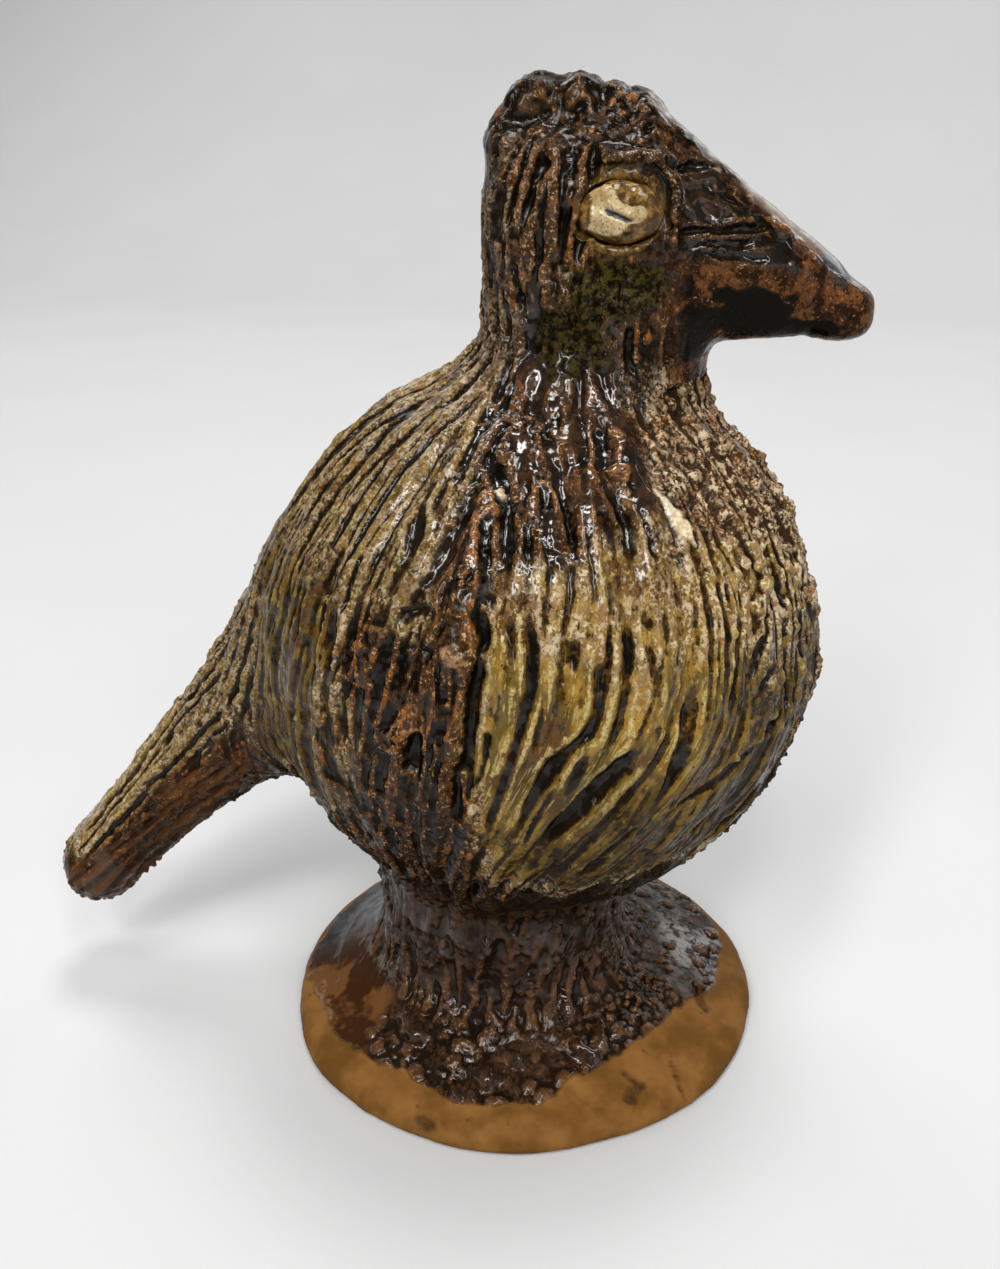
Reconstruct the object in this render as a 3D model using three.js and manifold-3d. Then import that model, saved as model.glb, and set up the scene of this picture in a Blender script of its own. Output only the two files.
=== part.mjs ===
// A pottery chicken: a hollow globe on a pedestal foot, with a collar of a neck, a wedge-beaked head,
// a low scalloped comb, two pellet eyes and a drooping bar of a tail. It is built as a potter builds it,
// from separately formed pieces of clay that are scored, slipped and pressed together.
// Millimetres. +X is where the beak points, +Y the bird's left, +Z up.
// The origin is the centre of the foot's flat underside.

import * as THREE from "three";
import { mergeVertices } from "three/addons/utils/BufferGeometryUtils.js";
import Module from "manifold-3d";

const wasm = await Module();
wasm.setup();

// Slip layer between two luted pieces, left open between the solids.
const slipGap = 0.3;

// Base disc: a thick slab with a rounded rim, dished up to a flat land that carries the stem.
const rimWidth = 9;
const rimThickness = 3.6;
const rimRounding = 1.3;
const landHeight = 6;
const landMargin = 0.5;

// Pedestal stem: a waisted tube between the disc and the globe, set a little behind the disc's centre.
const skirtRadius = 18.5;
const skirtEdge = 1;
const waistRadius = 15.8;
const capRadius = 17.5;
const stemRise = 14;
const stemBack = 3;
const stemBore = 5;

// Globe: two pinched bowls joined rim to rim.
const globeRadius = 32.3;
const globeHalfHeight = 32.5;
const globeForward = 1.3;
const wall = 5;
const throatRadius = 4;
const pinholeRadius = 1.25;
const pinholeDip = 50;

// Comb strokes: the main grooves down the globe, swept back under the breast. Heights are from the centre.
const strokeCount = 28;
const strokeDepth = 1;
const strokeFirst = 5.9;
const strokeStray = 1.8;
const strokeSweep = 1.15;
const sweepStart = 11;
const sweepFull = -3;
const strokeRunOut = 4;
const strokeRings = 22;

// Neck: a collar that leans forward and flares out over the globe's crown.
const neckLean = 9.5;
const neckRise = 5.6;
const neckHalfLength = 12.1;
const neckHalfWidth = 10.6;
const neckFlare = 3.4;
const neckEdge = 0.8;

// Head: a rounded block, cut flat in front for the beak.
const headHalfLength = 10.3;
const headHalfWidth = 9.4;
const headHalfHeight = 10.7;
const headBack = 2.4;
const headSink = 3;
const blockPower = 2.8;

// Beak: a blunt wedge, flat on top, widest along an edge that runs out to the tip.
const beakRootForward = 8.8;
const beakLength = 21.4;
const beakTopDrop = 0.9;
const beakBottomDrop = 0.3;
const beakTipRise = 0.8;
const beakTipHeight = 4;
const beakCrown = 0.6;
const beakRootHalfWidth = 8.4;
const beakTipHalfWidth = 3.2;
const beakTopFlat = 0.3;
const beakBottomFlat = 0.55;
const beakEdgeHeight = 0.45;
const beakNose = 2.6;
const beakNoseDroop = 0.5;

// Comb: a thick strip with low lobes, pressed into a trough along the crown.
const combLength = 16.6;
const combHeight = 7.2;
const combThickness = 7;
const combSeat = 3.3;
const combLobes = 4;
const combLobeRise = 0.9;
const combFrontDrop = 2.5;
const combBevel = 1;

// Eyes: flattened pellets, each slit for a pupil.
const eyeHalfLength = 3.8;
const eyeHalfHeight = 3;
const eyeHalfDepth = 2.1;
const eyeForward = 3.9;
const eyeRise = 2.1;
const eyeSeat = 0.6;
const pupilHalfLength = 1.6;
const pupilHalfHeight = 0.4;
const pupilDepth = 0.5;
const pupilTilt = 22;

// Tail: a bar that leaves the globe's back, droops and ends blunt.
const tailReach = 29;
const tailDrop = 40;
const tailRootDrop = 1.5;
const tailRootDepth = 9;
const tailRootHalfThickness = 12;
const tailRootHalfWidth = 12;
const tailRootShare = 0.9;
const tailBow = 2;
const tailHalfThickness = 4.8;
const tailHalfWidth = 6.4;
const tailTaper = 0.94;

// Mesh fineness.
const roundSegments = 44;
const arcSteps = 9;
const blockSegments = 28;
const blockRings = 18;
const ringPoints = 22;
const overshoot = 4;

const degrees = Math.PI / 180;
const upright = new THREE.Matrix4().makeRotationX(Math.PI / 2);

// Heights and places that follow from the sizes above.
const landRadius = skirtRadius + stemBack + landMargin;
const footRadius = landRadius + rimWidth;
const stemFoot = new THREE.Vector3(-stemBack, 0, landHeight + slipGap);
const globeCentre = new THREE.Vector3(globeForward, 0, landHeight + slipGap + stemRise + globeHalfHeight);
const neckAxis = new THREE.Vector3(Math.sin(neckLean * degrees), 0, Math.cos(neckLean * degrees));
const neckTop = globeCentre.clone().addScaledVector(neckAxis, globeHalfHeight + neckRise);
const headCentre = new THREE.Vector3(neckTop.x - headBack, 0, neckTop.z + headHalfHeight - headSink);
const beakRoot = headCentre.x + beakRootForward;
const beakTopZ = headCentre.z + headHalfHeight - beakTopDrop;
const beakBottomZ = headCentre.z - headHalfHeight - beakBottomDrop;

// Clay colours, from the photograph.
const clay = {
  rim: new THREE.MeshStandardMaterial({ color: 0xa8723a, roughness: 0.7, metalness: 0 }),
  darkGlaze: new THREE.MeshStandardMaterial({ color: 0x2f1d12, roughness: 0.2, metalness: 0 }),
  brownGlaze: new THREE.MeshStandardMaterial({ color: 0x5a3418, roughness: 0.2, metalness: 0 }),
  oliveGlaze: new THREE.MeshStandardMaterial({ color: 0x7c6a32, roughness: 0.22, metalness: 0 }),
  creamGlaze: new THREE.MeshStandardMaterial({ color: 0xc9a86a, roughness: 0.3, metalness: 0 }),
};

// A closed three.js geometry as a solid that can be joined and cut.
function solidOf(geometry) {
  const bare = new THREE.BufferGeometry();
  bare.setAttribute("position", geometry.getAttribute("position").clone());
  if (geometry.index) bare.setIndex(geometry.index.clone());
  const merged = mergeVertices(bare, 1e-4);
  return new wasm.Manifold(
    new wasm.Mesh({
      numProp: 3,
      vertProperties: new Float32Array(merged.attributes.position.array),
      triVerts: new Uint32Array(merged.index.array),
    }),
  );
}

// A solid as a named mesh whose own origin is at the point given.
function piece(name, solid, origin, material) {
  const { vertProperties, triVerts, numProp } = solid.getMesh();
  const positions = new Float32Array((vertProperties.length / numProp) * 3);
  for (let i = 0; i < positions.length / 3; i++) {
    positions.set(vertProperties.subarray(i * numProp, i * numProp + 3), i * 3);
  }
  const geometry = new THREE.BufferGeometry();
  geometry.setAttribute("position", new THREE.BufferAttribute(positions, 3));
  geometry.setIndex(new THREE.BufferAttribute(triVerts, 1));
  geometry.translate(-origin.x, -origin.y, -origin.z);
  geometry.computeVertexNormals();
  const mesh = new THREE.Mesh(geometry, material);
  mesh.name = name;
  mesh.position.copy(origin);
  return mesh;
}

// A solid of revolution about the vertical, from a profile of [radius, height] pairs.
function turned(profile, segments = roundSegments) {
  const points = profile.map(([radius, height]) => new THREE.Vector2(radius, height));
  return new THREE.LatheGeometry(points, segments).applyMatrix4(upright);
}

// Points of a quarter of an ellipse in [radius, height], from one angle above the equator to another.
function ellipseArc(radius, halfHeight, from, to, steps = arcSteps) {
  return Array.from({ length: steps + 1 }, (_, i) => {
    const angle = from + ((to - from) * i) / steps;
    return [Math.max(0, radius * Math.cos(angle)), halfHeight * Math.sin(angle)];
  });
}

// A closed solid through rings that have the same number of points, its two ends closed by fans.
function lofted(rings) {
  const count = rings[0].length;
  const middle = (ring) => ring.reduce((sum, p) => sum.add(p), new THREE.Vector3()).divideScalar(count);
  const points = [...rings.flat(), middle(rings[0]), middle(rings.at(-1))];
  const first = rings.length * count;
  const index = [];
  for (let j = 0; j < count; j++) {
    const k = (j + 1) % count;
    for (let i = 0; i + 1 < rings.length; i++) {
      const a = i * count;
      const b = a + count;
      index.push(a + j, a + k, b + k, a + j, b + k, b + j);
    }
    index.push(first, k, j, first + 1, first - count + j, first - count + k);
  }
  const geometry = new THREE.BufferGeometry().setFromPoints(points);
  geometry.setIndex(index);
  return geometry;
}

// A ball swollen towards a rounded block: the power sets how square it is.
function block(halfLength, halfWidth, halfHeight, power, segments = blockSegments, rings = blockRings) {
  const geometry = new THREE.SphereGeometry(1, segments, rings).applyMatrix4(upright);
  const position = geometry.getAttribute("position");
  const point = new THREE.Vector3();
  for (let i = 0; i < position.count; i++) {
    point.fromBufferAttribute(position, i);
    const reach = point.toArray().reduce((sum, x) => sum + Math.abs(x) ** power, 0) ** (-1 / power);
    point.multiplyScalar(reach);
    position.setXYZ(i, point.x * halfLength, point.y * halfWidth, point.z * halfHeight);
  }
  return geometry;
}

// The slab that the pedestal stands on.
function makeBaseDisc() {
  const rounding = Math.min(rimRounding, rimThickness / 2);
  const quarter = (centreHeight, from, to) =>
    ellipseArc(rounding, rounding, from, to, 4).map(([r, h]) => [footRadius - rounding + r, centreHeight + h]);
  return solidOf(
    turned([
      [0, 0],
      ...quarter(rounding, -Math.PI / 2, 0),
      ...quarter(rimThickness - rounding, 0, Math.PI / 2),
      [landRadius, landHeight],
      [0, landHeight],
    ]),
  );
}

// Half the height of the globe's surface from its centre, at a distance from its axis.
function globeHeightAt(radius) {
  return globeHalfHeight * Math.sqrt(1 - (radius / globeRadius) ** 2);
}

// The globe's outside, grown by the slip for the pieces that are luted to it.
function globeBlank(grow) {
  const arc = ellipseArc(globeRadius + grow, globeHalfHeight + grow, -Math.PI / 2, Math.PI / 2, 2 * arcSteps);
  return solidOf(turned(arc)).translate(globeCentre.toArray());
}

// The waisted tube, its top cupped to the globe's underside.
function makeStem() {
  const capTop = globeCentre.z - globeHeightAt(capRadius + stemBack + globeForward) - stemFoot.z;
  const waistHeight = skirtEdge + (capTop - skirtEdge) * 0.55;
  const flank = new THREE.SplineCurve([
    new THREE.Vector2(skirtRadius, skirtEdge),
    new THREE.Vector2(waistRadius + (skirtRadius - waistRadius) * 0.3, skirtEdge + (waistHeight - skirtEdge) * 0.4),
    new THREE.Vector2(waistRadius, waistHeight),
    new THREE.Vector2(capRadius, capTop),
  ]);
  const profile = [
    [stemBore, 0],
    [skirtRadius, 0],
    ...flank.getPoints(arcSteps).map((p) => p.toArray()),
    [stemBore, capTop],
    [stemBore, 0],
  ];
  return solidOf(turned(profile)).translate(stemFoot.toArray()).subtract(globeBlank(slipGap));
}

// A straight round hole through a wall, along X before it is turned and placed.
function drill(radius) {
  return new THREE.CylinderGeometry(radius, radius, wall + 4 * overshoot, 16).rotateZ(Math.PI / 2);
}

// The turn at which each groove starts, with two points of the ridge beside it.
function strokeTurns() {
  const grooveAt = (k) =>
    strokeFirst + (360 * k) / strokeCount + strokeStray * Math.sin(2.4 * (k % strokeCount));
  return Array.from({ length: 3 * strokeCount }, (_, j) => {
    const k = Math.floor(j / 3);
    return THREE.MathUtils.lerp(grooveAt(k), grooveAt(k + 1), (j % 3) / 3) * degrees;
  });
}

// How far a groove turns for each millimetre down.
function sweepAt(turn, height) {
  const front = THREE.MathUtils.smoothstep(Math.cos(turn), -0.35, 0.5);
  const low = 1 - THREE.MathUtils.smoothstep(height, sweepFull, sweepStart);
  return strokeSweep * degrees * front * low * Math.sin(turn);
}

// The share of its depth that a groove has at a point: it runs out before the neck, the stem and the tail.
function strokeShare(point) {
  const clearOf = (distance, edge) => THREE.MathUtils.smoothstep(distance, edge, edge + strokeRunOut);
  const fromNeck = new THREE.Vector3().crossVectors(point, neckAxis).length();
  const fromStem = Math.hypot(point.x + stemBack + globeForward, point.y);
  const tailRoot = new THREE.Vector3(tailRootDepth - globeRadius, 0, -tailRootDrop);
  const tailAlong = new THREE.Vector3(-tailReach - tailRootDepth, 0, tailRootDrop - tailDrop).normalize();
  const fromTail = new THREE.Vector3().crossVectors(point.clone().sub(tailRoot), tailAlong).length();
  const underNeck = ((neckHalfWidth + neckFlare) * neckHalfLength) / neckHalfWidth;
  return (
    (point.z > 0 ? clearOf(fromNeck, underNeck) : clearOf(fromStem, capRadius)) *
    (point.x < 0 ? clearOf(fromTail, tailRootHalfThickness) : 1)
  );
}

// The globe's outside with its main strokes combed in, about its own centre.
function combedGlobe() {
  const pole = 88;
  const rings = [];
  let turns = strokeTurns();
  let above = globeHalfHeight;
  for (let i = 0; i <= strokeRings; i++) {
    const level = THREE.MathUtils.lerp(pole, -pole, i / strokeRings) * degrees;
    const height = globeHalfHeight * Math.sin(level);
    const drop = above - height;
    turns = turns.map((turn) => turn + sweepAt(turn, height) * drop);
    above = height;
    const radius = globeRadius * Math.cos(level);
    rings.unshift(
      turns.map((turn, j) => {
        const point = new THREE.Vector3(radius * Math.cos(turn), radius * Math.sin(turn), height);
        const depth = j % 3 === 0 ? strokeDepth * strokeShare(point) : 0;
        return point.setLength(point.length() - depth);
      }),
    );
  }
  return solidOf(lofted(rings));
}

// The hollow inside the globe.
function globeHollow() {
  const arc = ellipseArc(globeRadius - wall, globeHalfHeight - wall, -Math.PI / 2, Math.PI / 2, 2 * arcSteps);
  return solidOf(turned(arc));
}

// The lower bowl, open at the rim, with a throat into the stem and a pinhole that vents the globe.
function makeLowerBowl() {
  const bowl = combedGlobe().subtract(globeHollow()).trimByPlane([0, 0, -1], slipGap / 2);
  const throat = drill(throatRadius)
    .rotateY(Math.PI / 2)
    .translate(stemFoot.x, 0, globeCentre.z - globeHalfHeight + wall / 2);
  const pinhole = drill(pinholeRadius)
    .translate(-(globeRadius - wall / 2), 0, 0)
    .rotateY(-pinholeDip * degrees)
    .translate(globeCentre.x, 0, globeCentre.z);
  return bowl.translate(globeCentre.toArray()).subtract(solidOf(throat)).subtract(solidOf(pinhole));
}

// The upper bowl, turned over on the lower one.
function makeUpperBowl() {
  const bowl = combedGlobe().subtract(globeHollow()).trimByPlane([0, 0, 1], slipGap / 2);
  return bowl.translate(globeCentre.toArray());
}

// The collar, leaning forward, before the head and beak are pressed into it.
function neckBlank() {
  const edgeRadius = neckHalfWidth + neckFlare;
  const onGlobe = globeHeightAt(edgeRadius);
  const top = globeHalfHeight + neckRise;
  const flank = new THREE.SplineCurve([
    new THREE.Vector2(edgeRadius, onGlobe + slipGap + neckEdge),
    new THREE.Vector2(neckHalfWidth + neckFlare * 0.28, globeHalfHeight * 0.98),
    new THREE.Vector2(neckHalfWidth, (globeHalfHeight + top) / 2),
    new THREE.Vector2(neckHalfWidth, top),
  ]);
  const profile = [
    [0, onGlobe - overshoot],
    [edgeRadius, onGlobe - overshoot],
    ...flank.getPoints(arcSteps).map((p) => p.toArray()),
    [0, top],
  ];
  const geometry = turned(profile, roundSegments)
    .scale(neckHalfLength / neckHalfWidth, 1, 1)
    .rotateY(neckLean * degrees)
    .translate(globeCentre.x, 0, globeCentre.z);
  return solidOf(geometry);
}

// The head's block, grown by the slip where it presses into the neck.
function headBlank(grow) {
  return solidOf(
    block(headHalfLength + grow, headHalfWidth + grow, headHalfHeight + grow, blockPower),
  ).translate(headCentre.toArray());
}

// Everything in front of the flat face that carries the beak.
function beakSide(plane) {
  const reach = 4 * (beakLength + headHalfLength);
  return solidOf(new THREE.BoxGeometry(reach, reach, reach)).translate([plane + reach / 2, 0, headCentre.z]);
}

// One cross-section of the beak: flat top, widest at the edge, flat bottom.
function beakSection(x, topZ, bottomZ, halfWidth) {
  const edgeZ = bottomZ + (topZ - bottomZ) * beakEdgeHeight;
  const half = [
    [0, topZ],
    [halfWidth * beakTopFlat, topZ - 0.2],
    [(halfWidth * (beakTopFlat + 1)) / 2, (topZ + edgeZ) / 2 + 0.6],
    [halfWidth, edgeZ],
    [(halfWidth * (beakBottomFlat + 1)) / 2, (bottomZ + edgeZ) / 2 - 0.8],
    [halfWidth * beakBottomFlat, bottomZ + 0.3],
    [0, bottomZ],
  ];
  const mirrored = half.slice(1, -1).reverse().map(([y, z]) => [-y, z]);
  return [...half, ...mirrored].map(([y, z]) => new THREE.Vector3(x, y, z));
}

// The beak, tapering from its root plane to a rounded nose.
function beakBlank(grow) {
  const noseStart = 1 - beakNose / beakLength;
  const sizeAt = (t) => ({
    bottom: beakBottomZ + beakTipRise * t,
    top:
      THREE.MathUtils.lerp(beakTopZ, beakBottomZ + beakTipRise + beakTipHeight, t) +
      beakCrown * Math.sin(Math.PI * t),
    halfWidth: THREE.MathUtils.lerp(beakRootHalfWidth, beakTipHalfWidth, t),
  });
  const rings = [0, 0.25, 0.5, 0.72, noseStart].map((t) => {
    const { bottom, top, halfWidth } = sizeAt(t);
    return beakSection(beakRoot + beakLength * t - grow * (t === 0), top + grow, bottom - grow, halfWidth + grow);
  });
  const { bottom, top, halfWidth } = sizeAt(noseStart);
  for (const turn of [30, 58, 80]) {
    const shrink = Math.cos(turn * degrees);
    const x = beakRoot + beakLength * noseStart + beakNose * Math.sin(turn * degrees) + grow;
    const middle = (top + bottom) / 2 - beakNoseDroop * (1 - shrink);
    const halfHeight = ((top - bottom) / 2) * shrink + grow;
    rings.push(beakSection(x, middle + halfHeight, middle - halfHeight, halfWidth * shrink + grow));
  }
  return solidOf(lofted(rings.map((ring) => ring.reverse())));
}

// The comb's side outline, lobed along the top and sloping down over the front.
function combOutline(grow) {
  const back = -combLength / 2 - grow;
  const front = combLength / 2 + grow;
  const shape = new THREE.Shape();
  shape.moveTo(back, -grow);
  shape.lineTo(front, -grow);
  const topAt = (x) => {
    const ahead = Math.max(0, x / front);
    return combHeight - combLobeRise - combFrontDrop * ahead ** 2 + grow;
  };
  shape.lineTo(front, topAt(front));
  const lobe = (front - back) / combLobes;
  for (let i = 0; i < combLobes; i++) {
    const x = front - lobe * (i + 1);
    const crest = topAt(x + lobe / 2) + 2 * combLobeRise;
    shape.quadraticCurveTo(x + lobe / 2, crest, x, topAt(x) - (i + 1 === combLobes ? combLobeRise : 0));
  }
  shape.closePath();
  return shape;
}

// The strip of clay for the comb, standing on the crown.
function combBlank(grow) {
  const thickness = combThickness + 2 * grow;
  const geometry = new THREE.ExtrudeGeometry(combOutline(grow - combBevel), {
    depth: thickness - 2 * combBevel,
    bevelThickness: combBevel,
    bevelSize: combBevel,
    bevelSegments: 3,
    curveSegments: 5,
  });
  geometry.translate(0, 0, -(thickness - 2 * combBevel) / 2).applyMatrix4(upright);
  const front = beakRoot - slipGap - 0.2;
  geometry.translate(front - combLength / 2, 0, headCentre.z + headHalfHeight - combSeat);
  return solidOf(geometry);
}

// How far the head's side stands out at a point given from the head's centre.
function headSideAt(x, z) {
  const used = Math.abs(x / headHalfLength) ** blockPower + Math.abs(z / headHalfHeight) ** blockPower;
  return headHalfWidth * (1 - used) ** (1 / blockPower);
}

// An eye pellet's middle, on the bird's left (side 1) or right (side -1).
function eyeCentre(side) {
  const out = headSideAt(eyeForward, eyeRise) - eyeSeat;
  return headCentre.clone().add(new THREE.Vector3(eyeForward, side * out, eyeRise));
}

// The pellet of an eye, before the pupil is cut.
function eyeBlank(side, grow) {
  const pellet = block(eyeHalfLength + grow, eyeHalfDepth + grow, eyeHalfHeight + grow, 2, 20, 12);
  return solidOf(pellet).translate(eyeCentre(side).toArray());
}

// A pellet with its slanting slit.
function makeEye(side) {
  const slit = block(pupilHalfLength, pupilDepth, pupilHalfHeight, 2, 12, 6)
    .rotateY(pupilTilt * degrees)
    .translate(0, side * eyeHalfDepth, 0);
  return eyeBlank(side, 0).subtract(solidOf(slit).translate(eyeCentre(side).toArray()));
}

// The head: block, less its flat beak face, the comb's trough and the eyes' sockets.
function makeHead() {
  return headBlank(0)
    .subtract(beakSide(beakRoot - slipGap))
    .subtract(combBlank(slipGap))
    .subtract(eyeBlank(1, slipGap))
    .subtract(eyeBlank(-1, slipGap));
}

// The tail's centreline, from inside the globe's back to the tip.
function tailCurve() {
  const back = globeCentre.x - globeRadius;
  const root = new THREE.Vector3(back + tailRootDepth, 0, globeCentre.z - tailRootDrop);
  const tip = new THREE.Vector3(back - tailReach, 0, globeCentre.z - tailDrop);
  const along = tip.clone().sub(root).normalize();
  tip.addScaledVector(along, -tailHalfThickness * tailTaper);
  const bend = root.clone().lerp(tip, 0.5).add(new THREE.Vector3(along.z, 0, -along.x).multiplyScalar(tailBow));
  return new THREE.QuadraticBezierCurve3(root, bend, tip);
}

// The tail: a bar that narrows from a broad root, with a rounded end.
function makeTail() {
  const curve = tailCurve();
  const ring = (t, past, shrink) => {
    const centre = curve.getPointAt(t);
    const along = curve.getTangentAt(t);
    const across = new THREE.Vector3(-along.z, 0, along.x);
    const fade = Math.max(0, 1 - t / tailRootShare) ** 1.5;
    const slim = THREE.MathUtils.lerp(1, tailTaper, t);
    const thick = THREE.MathUtils.lerp(tailHalfThickness * slim, tailRootHalfThickness, fade) * shrink;
    const wide = THREE.MathUtils.lerp(tailHalfWidth * slim, tailRootHalfWidth, fade) * shrink;
    centre.addScaledVector(along, past);
    return Array.from({ length: ringPoints }, (_, i) => {
      const angle = (2 * Math.PI * i) / ringPoints;
      return centre
        .clone()
        .addScaledVector(across, thick * Math.cos(angle))
        .add(new THREE.Vector3(0, -wide * Math.sin(angle), 0));
    });
  };
  const rings = Array.from({ length: 13 }, (_, i) => ring(i / 12, 0, 1));
  for (const turn of [25, 50, 70, 84]) {
    const past = tailHalfThickness * tailTaper * Math.sin(turn * degrees);
    rings.push(ring(1, past, Math.cos(turn * degrees)));
  }
  return solidOf(lofted(rings)).subtract(globeBlank(slipGap));
}

const eyeSide = { eye_left: 1, eye_right: -1 };

const foot = new THREE.Group();
foot.add(piece("base_disc", makeBaseDisc(), new THREE.Vector3(), clay.rim));
foot.add(piece("pedestal_stem", makeStem(), stemFoot, clay.darkGlaze));

const globe = new THREE.Group();
globe.add(piece("body_lower_bowl", makeLowerBowl(), globeCentre, clay.oliveGlaze));
globe.add(piece("body_upper_bowl", makeUpperBowl(), globeCentre, clay.oliveGlaze));
globe.add(piece("tail", makeTail(), tailCurve().getPoint(0), clay.brownGlaze));

const neck = neckBlank().subtract(globeBlank(slipGap)).subtract(headBlank(slipGap)).subtract(beakBlank(slipGap));
const headGroup = new THREE.Group();
headGroup.add(piece("neck", neck, neckTop, clay.brownGlaze));
headGroup.add(piece("head", makeHead(), headCentre, clay.brownGlaze));
headGroup.add(piece("beak", beakBlank(0), new THREE.Vector3(beakRoot, 0, headCentre.z), clay.darkGlaze));
headGroup.add(piece("comb", combBlank(0), headCentre, clay.brownGlaze));
for (const [name, side] of Object.entries(eyeSide)) {
  headGroup.add(piece(name, makeEye(side), eyeCentre(side), clay.creamGlaze));
}

const chicken = new THREE.Group();
chicken.add(foot, globe, headGroup);

export default chicken;
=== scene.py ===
"""A glazed pottery chicken: soft clay pressed together, combed with a toothed stick, fired and glazed.

The clay is modelled as one smooth form, a distance field built on the CAD pieces' own boxes. Its surface
is meshed, combed stroke by stroke, roughened, and parted again along the joints of the pieces.
"""

import math

import bpy
import numpy as np
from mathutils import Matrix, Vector


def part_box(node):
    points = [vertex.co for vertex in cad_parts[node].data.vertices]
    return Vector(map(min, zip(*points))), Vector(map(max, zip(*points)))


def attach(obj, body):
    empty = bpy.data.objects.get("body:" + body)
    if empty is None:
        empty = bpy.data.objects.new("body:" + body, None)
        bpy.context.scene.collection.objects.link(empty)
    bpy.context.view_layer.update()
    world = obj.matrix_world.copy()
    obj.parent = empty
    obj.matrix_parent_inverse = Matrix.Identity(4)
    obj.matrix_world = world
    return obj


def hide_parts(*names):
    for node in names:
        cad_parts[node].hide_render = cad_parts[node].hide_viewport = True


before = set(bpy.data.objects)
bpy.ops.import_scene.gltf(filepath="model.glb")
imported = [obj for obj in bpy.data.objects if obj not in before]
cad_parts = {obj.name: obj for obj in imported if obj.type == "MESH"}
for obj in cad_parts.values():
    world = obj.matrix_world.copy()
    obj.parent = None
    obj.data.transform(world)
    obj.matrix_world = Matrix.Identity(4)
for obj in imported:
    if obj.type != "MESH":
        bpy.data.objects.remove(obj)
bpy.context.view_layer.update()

MM = 0.001

# The camera, as the photograph was taken: place in millimetres, direction, and focal length in pixels.
PHOTO_WIDTH, PHOTO_HEIGHT = 1000, 1269
FOCAL_PIXELS = 1200
PITCH = math.radians(24.6)
YAW = math.radians(5)
CAMERA = np.array([8.15, -128.74, 111.2])
LOOK = np.array([-math.sin(YAW) * math.cos(PITCH), math.cos(YAW) * math.cos(PITCH), -math.sin(PITCH)])


# The frame, in millimetres.

def box_mm(*nodes):
    """Lowest and highest corners over some CAD nodes."""
    corners = [[np.array(corner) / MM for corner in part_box(node)] for node in nodes]
    return np.min([low for low, _ in corners], axis=0), np.max([high for _, high in corners], axis=0)


disc_low, disc_high = box_mm("base_disc")
stem_low, stem_high = box_mm("pedestal_stem")
globe_low, globe_high = box_mm("body_lower_bowl", "body_upper_bowl")
neck_low, neck_high = box_mm("neck")
head_low, head_high = box_mm("head")
beak_low, beak_high = box_mm("beak")
comb_low, comb_high = box_mm("comb")
eye_low, eye_high = box_mm("eye_right")
tail_low, tail_high = box_mm("tail")

FOOT_R = disc_high[0]
LAND_TOP = disc_high[2]
STEM_X = (stem_low[0] + stem_high[0]) / 2
GLOBE = (globe_low + globe_high) / 2
GLOBE_R = (globe_high - globe_low) / 2
HEAD_TOP = comb_high[2]
FACE_X = beak_low[0]
EYE = (eye_low + eye_high) / 2


# Smooth noise over space, the same on every run.

def lattice(i, j, k, seed):
    """A number from -1 to 1 for each lattice point."""
    n = i * np.uint32(374761393) + j * np.uint32(668265263) + k * np.uint32(1274126177)
    n = n + np.uint32(seed * 362437 + 12345)
    n = (n ^ (n >> np.uint32(13))) * np.uint32(1274126177)
    n = (n ^ (n >> np.uint32(15))) * np.uint32(2246822519)
    n = n ^ (n >> np.uint32(16))
    return (n & np.uint32(0xFFFFFF)).astype(np.float32) / 8388607.5 - 1


# A turn of space that hides the lattice's own directions.
TURNED = np.float32([[0.36, 0.48, -0.8], [-0.8, 0.6, 0.0], [0.48, 0.64, 0.6]])
CORNERS = [(a, b, c) for a in (0, 1) for b in (0, 1) for c in (0, 1)]


def lattice_noise(q, seed):
    cell = np.floor(q).astype(np.uint32)
    f = q - np.floor(q)
    f = f * f * f * (f * (f * 6 - 15) + 10)
    total = 0
    for corner in CORNERS:
        weight = 1
        for axis, far_side in enumerate(corner):
            weight = weight * (f[:, axis] if far_side else 1 - f[:, axis])
        at = [cell[:, axis] + np.uint32(corner[axis]) for axis in range(3)]
        total = total + weight * lattice(*at, seed)
    return total


def noise(points, size, seed=0):
    """Smooth noise from -1 to 1 with bumps of about the size given."""
    q = np.asarray(points, np.float32) @ TURNED / size
    return 0.75 * (lattice_noise(q + 1000, seed) + lattice_noise(q @ TURNED * 1.1 + 1033, seed + 7))


def grains(points, size, seed=0):
    """Round grains of about the size given, from 0 between them to 1 on top of the largest."""
    q = np.asarray(points, np.float32) @ TURNED / size + 1000
    base = np.floor(q - 0.5)
    best = np.zeros(len(q), np.float32)
    for corner in CORNERS:
        cell = base + np.float32(corner)
        at = [cell[:, axis].astype(np.uint32) for axis in range(3)]
        jitter = np.stack([lattice(*at, seed + k) for k in range(3)], 1)
        radius = 0.36 + 0.14 * lattice(*at, seed + 3)
        far = ((q - cell - 0.5 - 0.28 * jitter) ** 2).sum(1) / radius**2
        best = np.maximum(best, 2 * radius * np.sqrt(np.maximum(0, 1 - far)))
    return best


def fractal(points, size, seed=0, octaves=3):
    """A few octaves of noise, from -1 to 1 or so."""
    return sum(noise(points, size / 2**o, seed + 31 * o) / 2**o for o in range(octaves)) / 1.5


def smoothstep(low, high, x):
    t = np.clip((x - low) / (high - low), 0, 1)
    return t * t * (3 - 2 * t)


# Distance to the clay's parts.

def smin(a, b, k):
    """Union with a fillet."""
    h = np.maximum(k - np.abs(a - b), 0) / k
    return np.minimum(a, b) - h * h * k / 4


def smax(a, b, k):
    """Intersection with a rounded edge."""
    return -smin(-a, -b, k)


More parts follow.
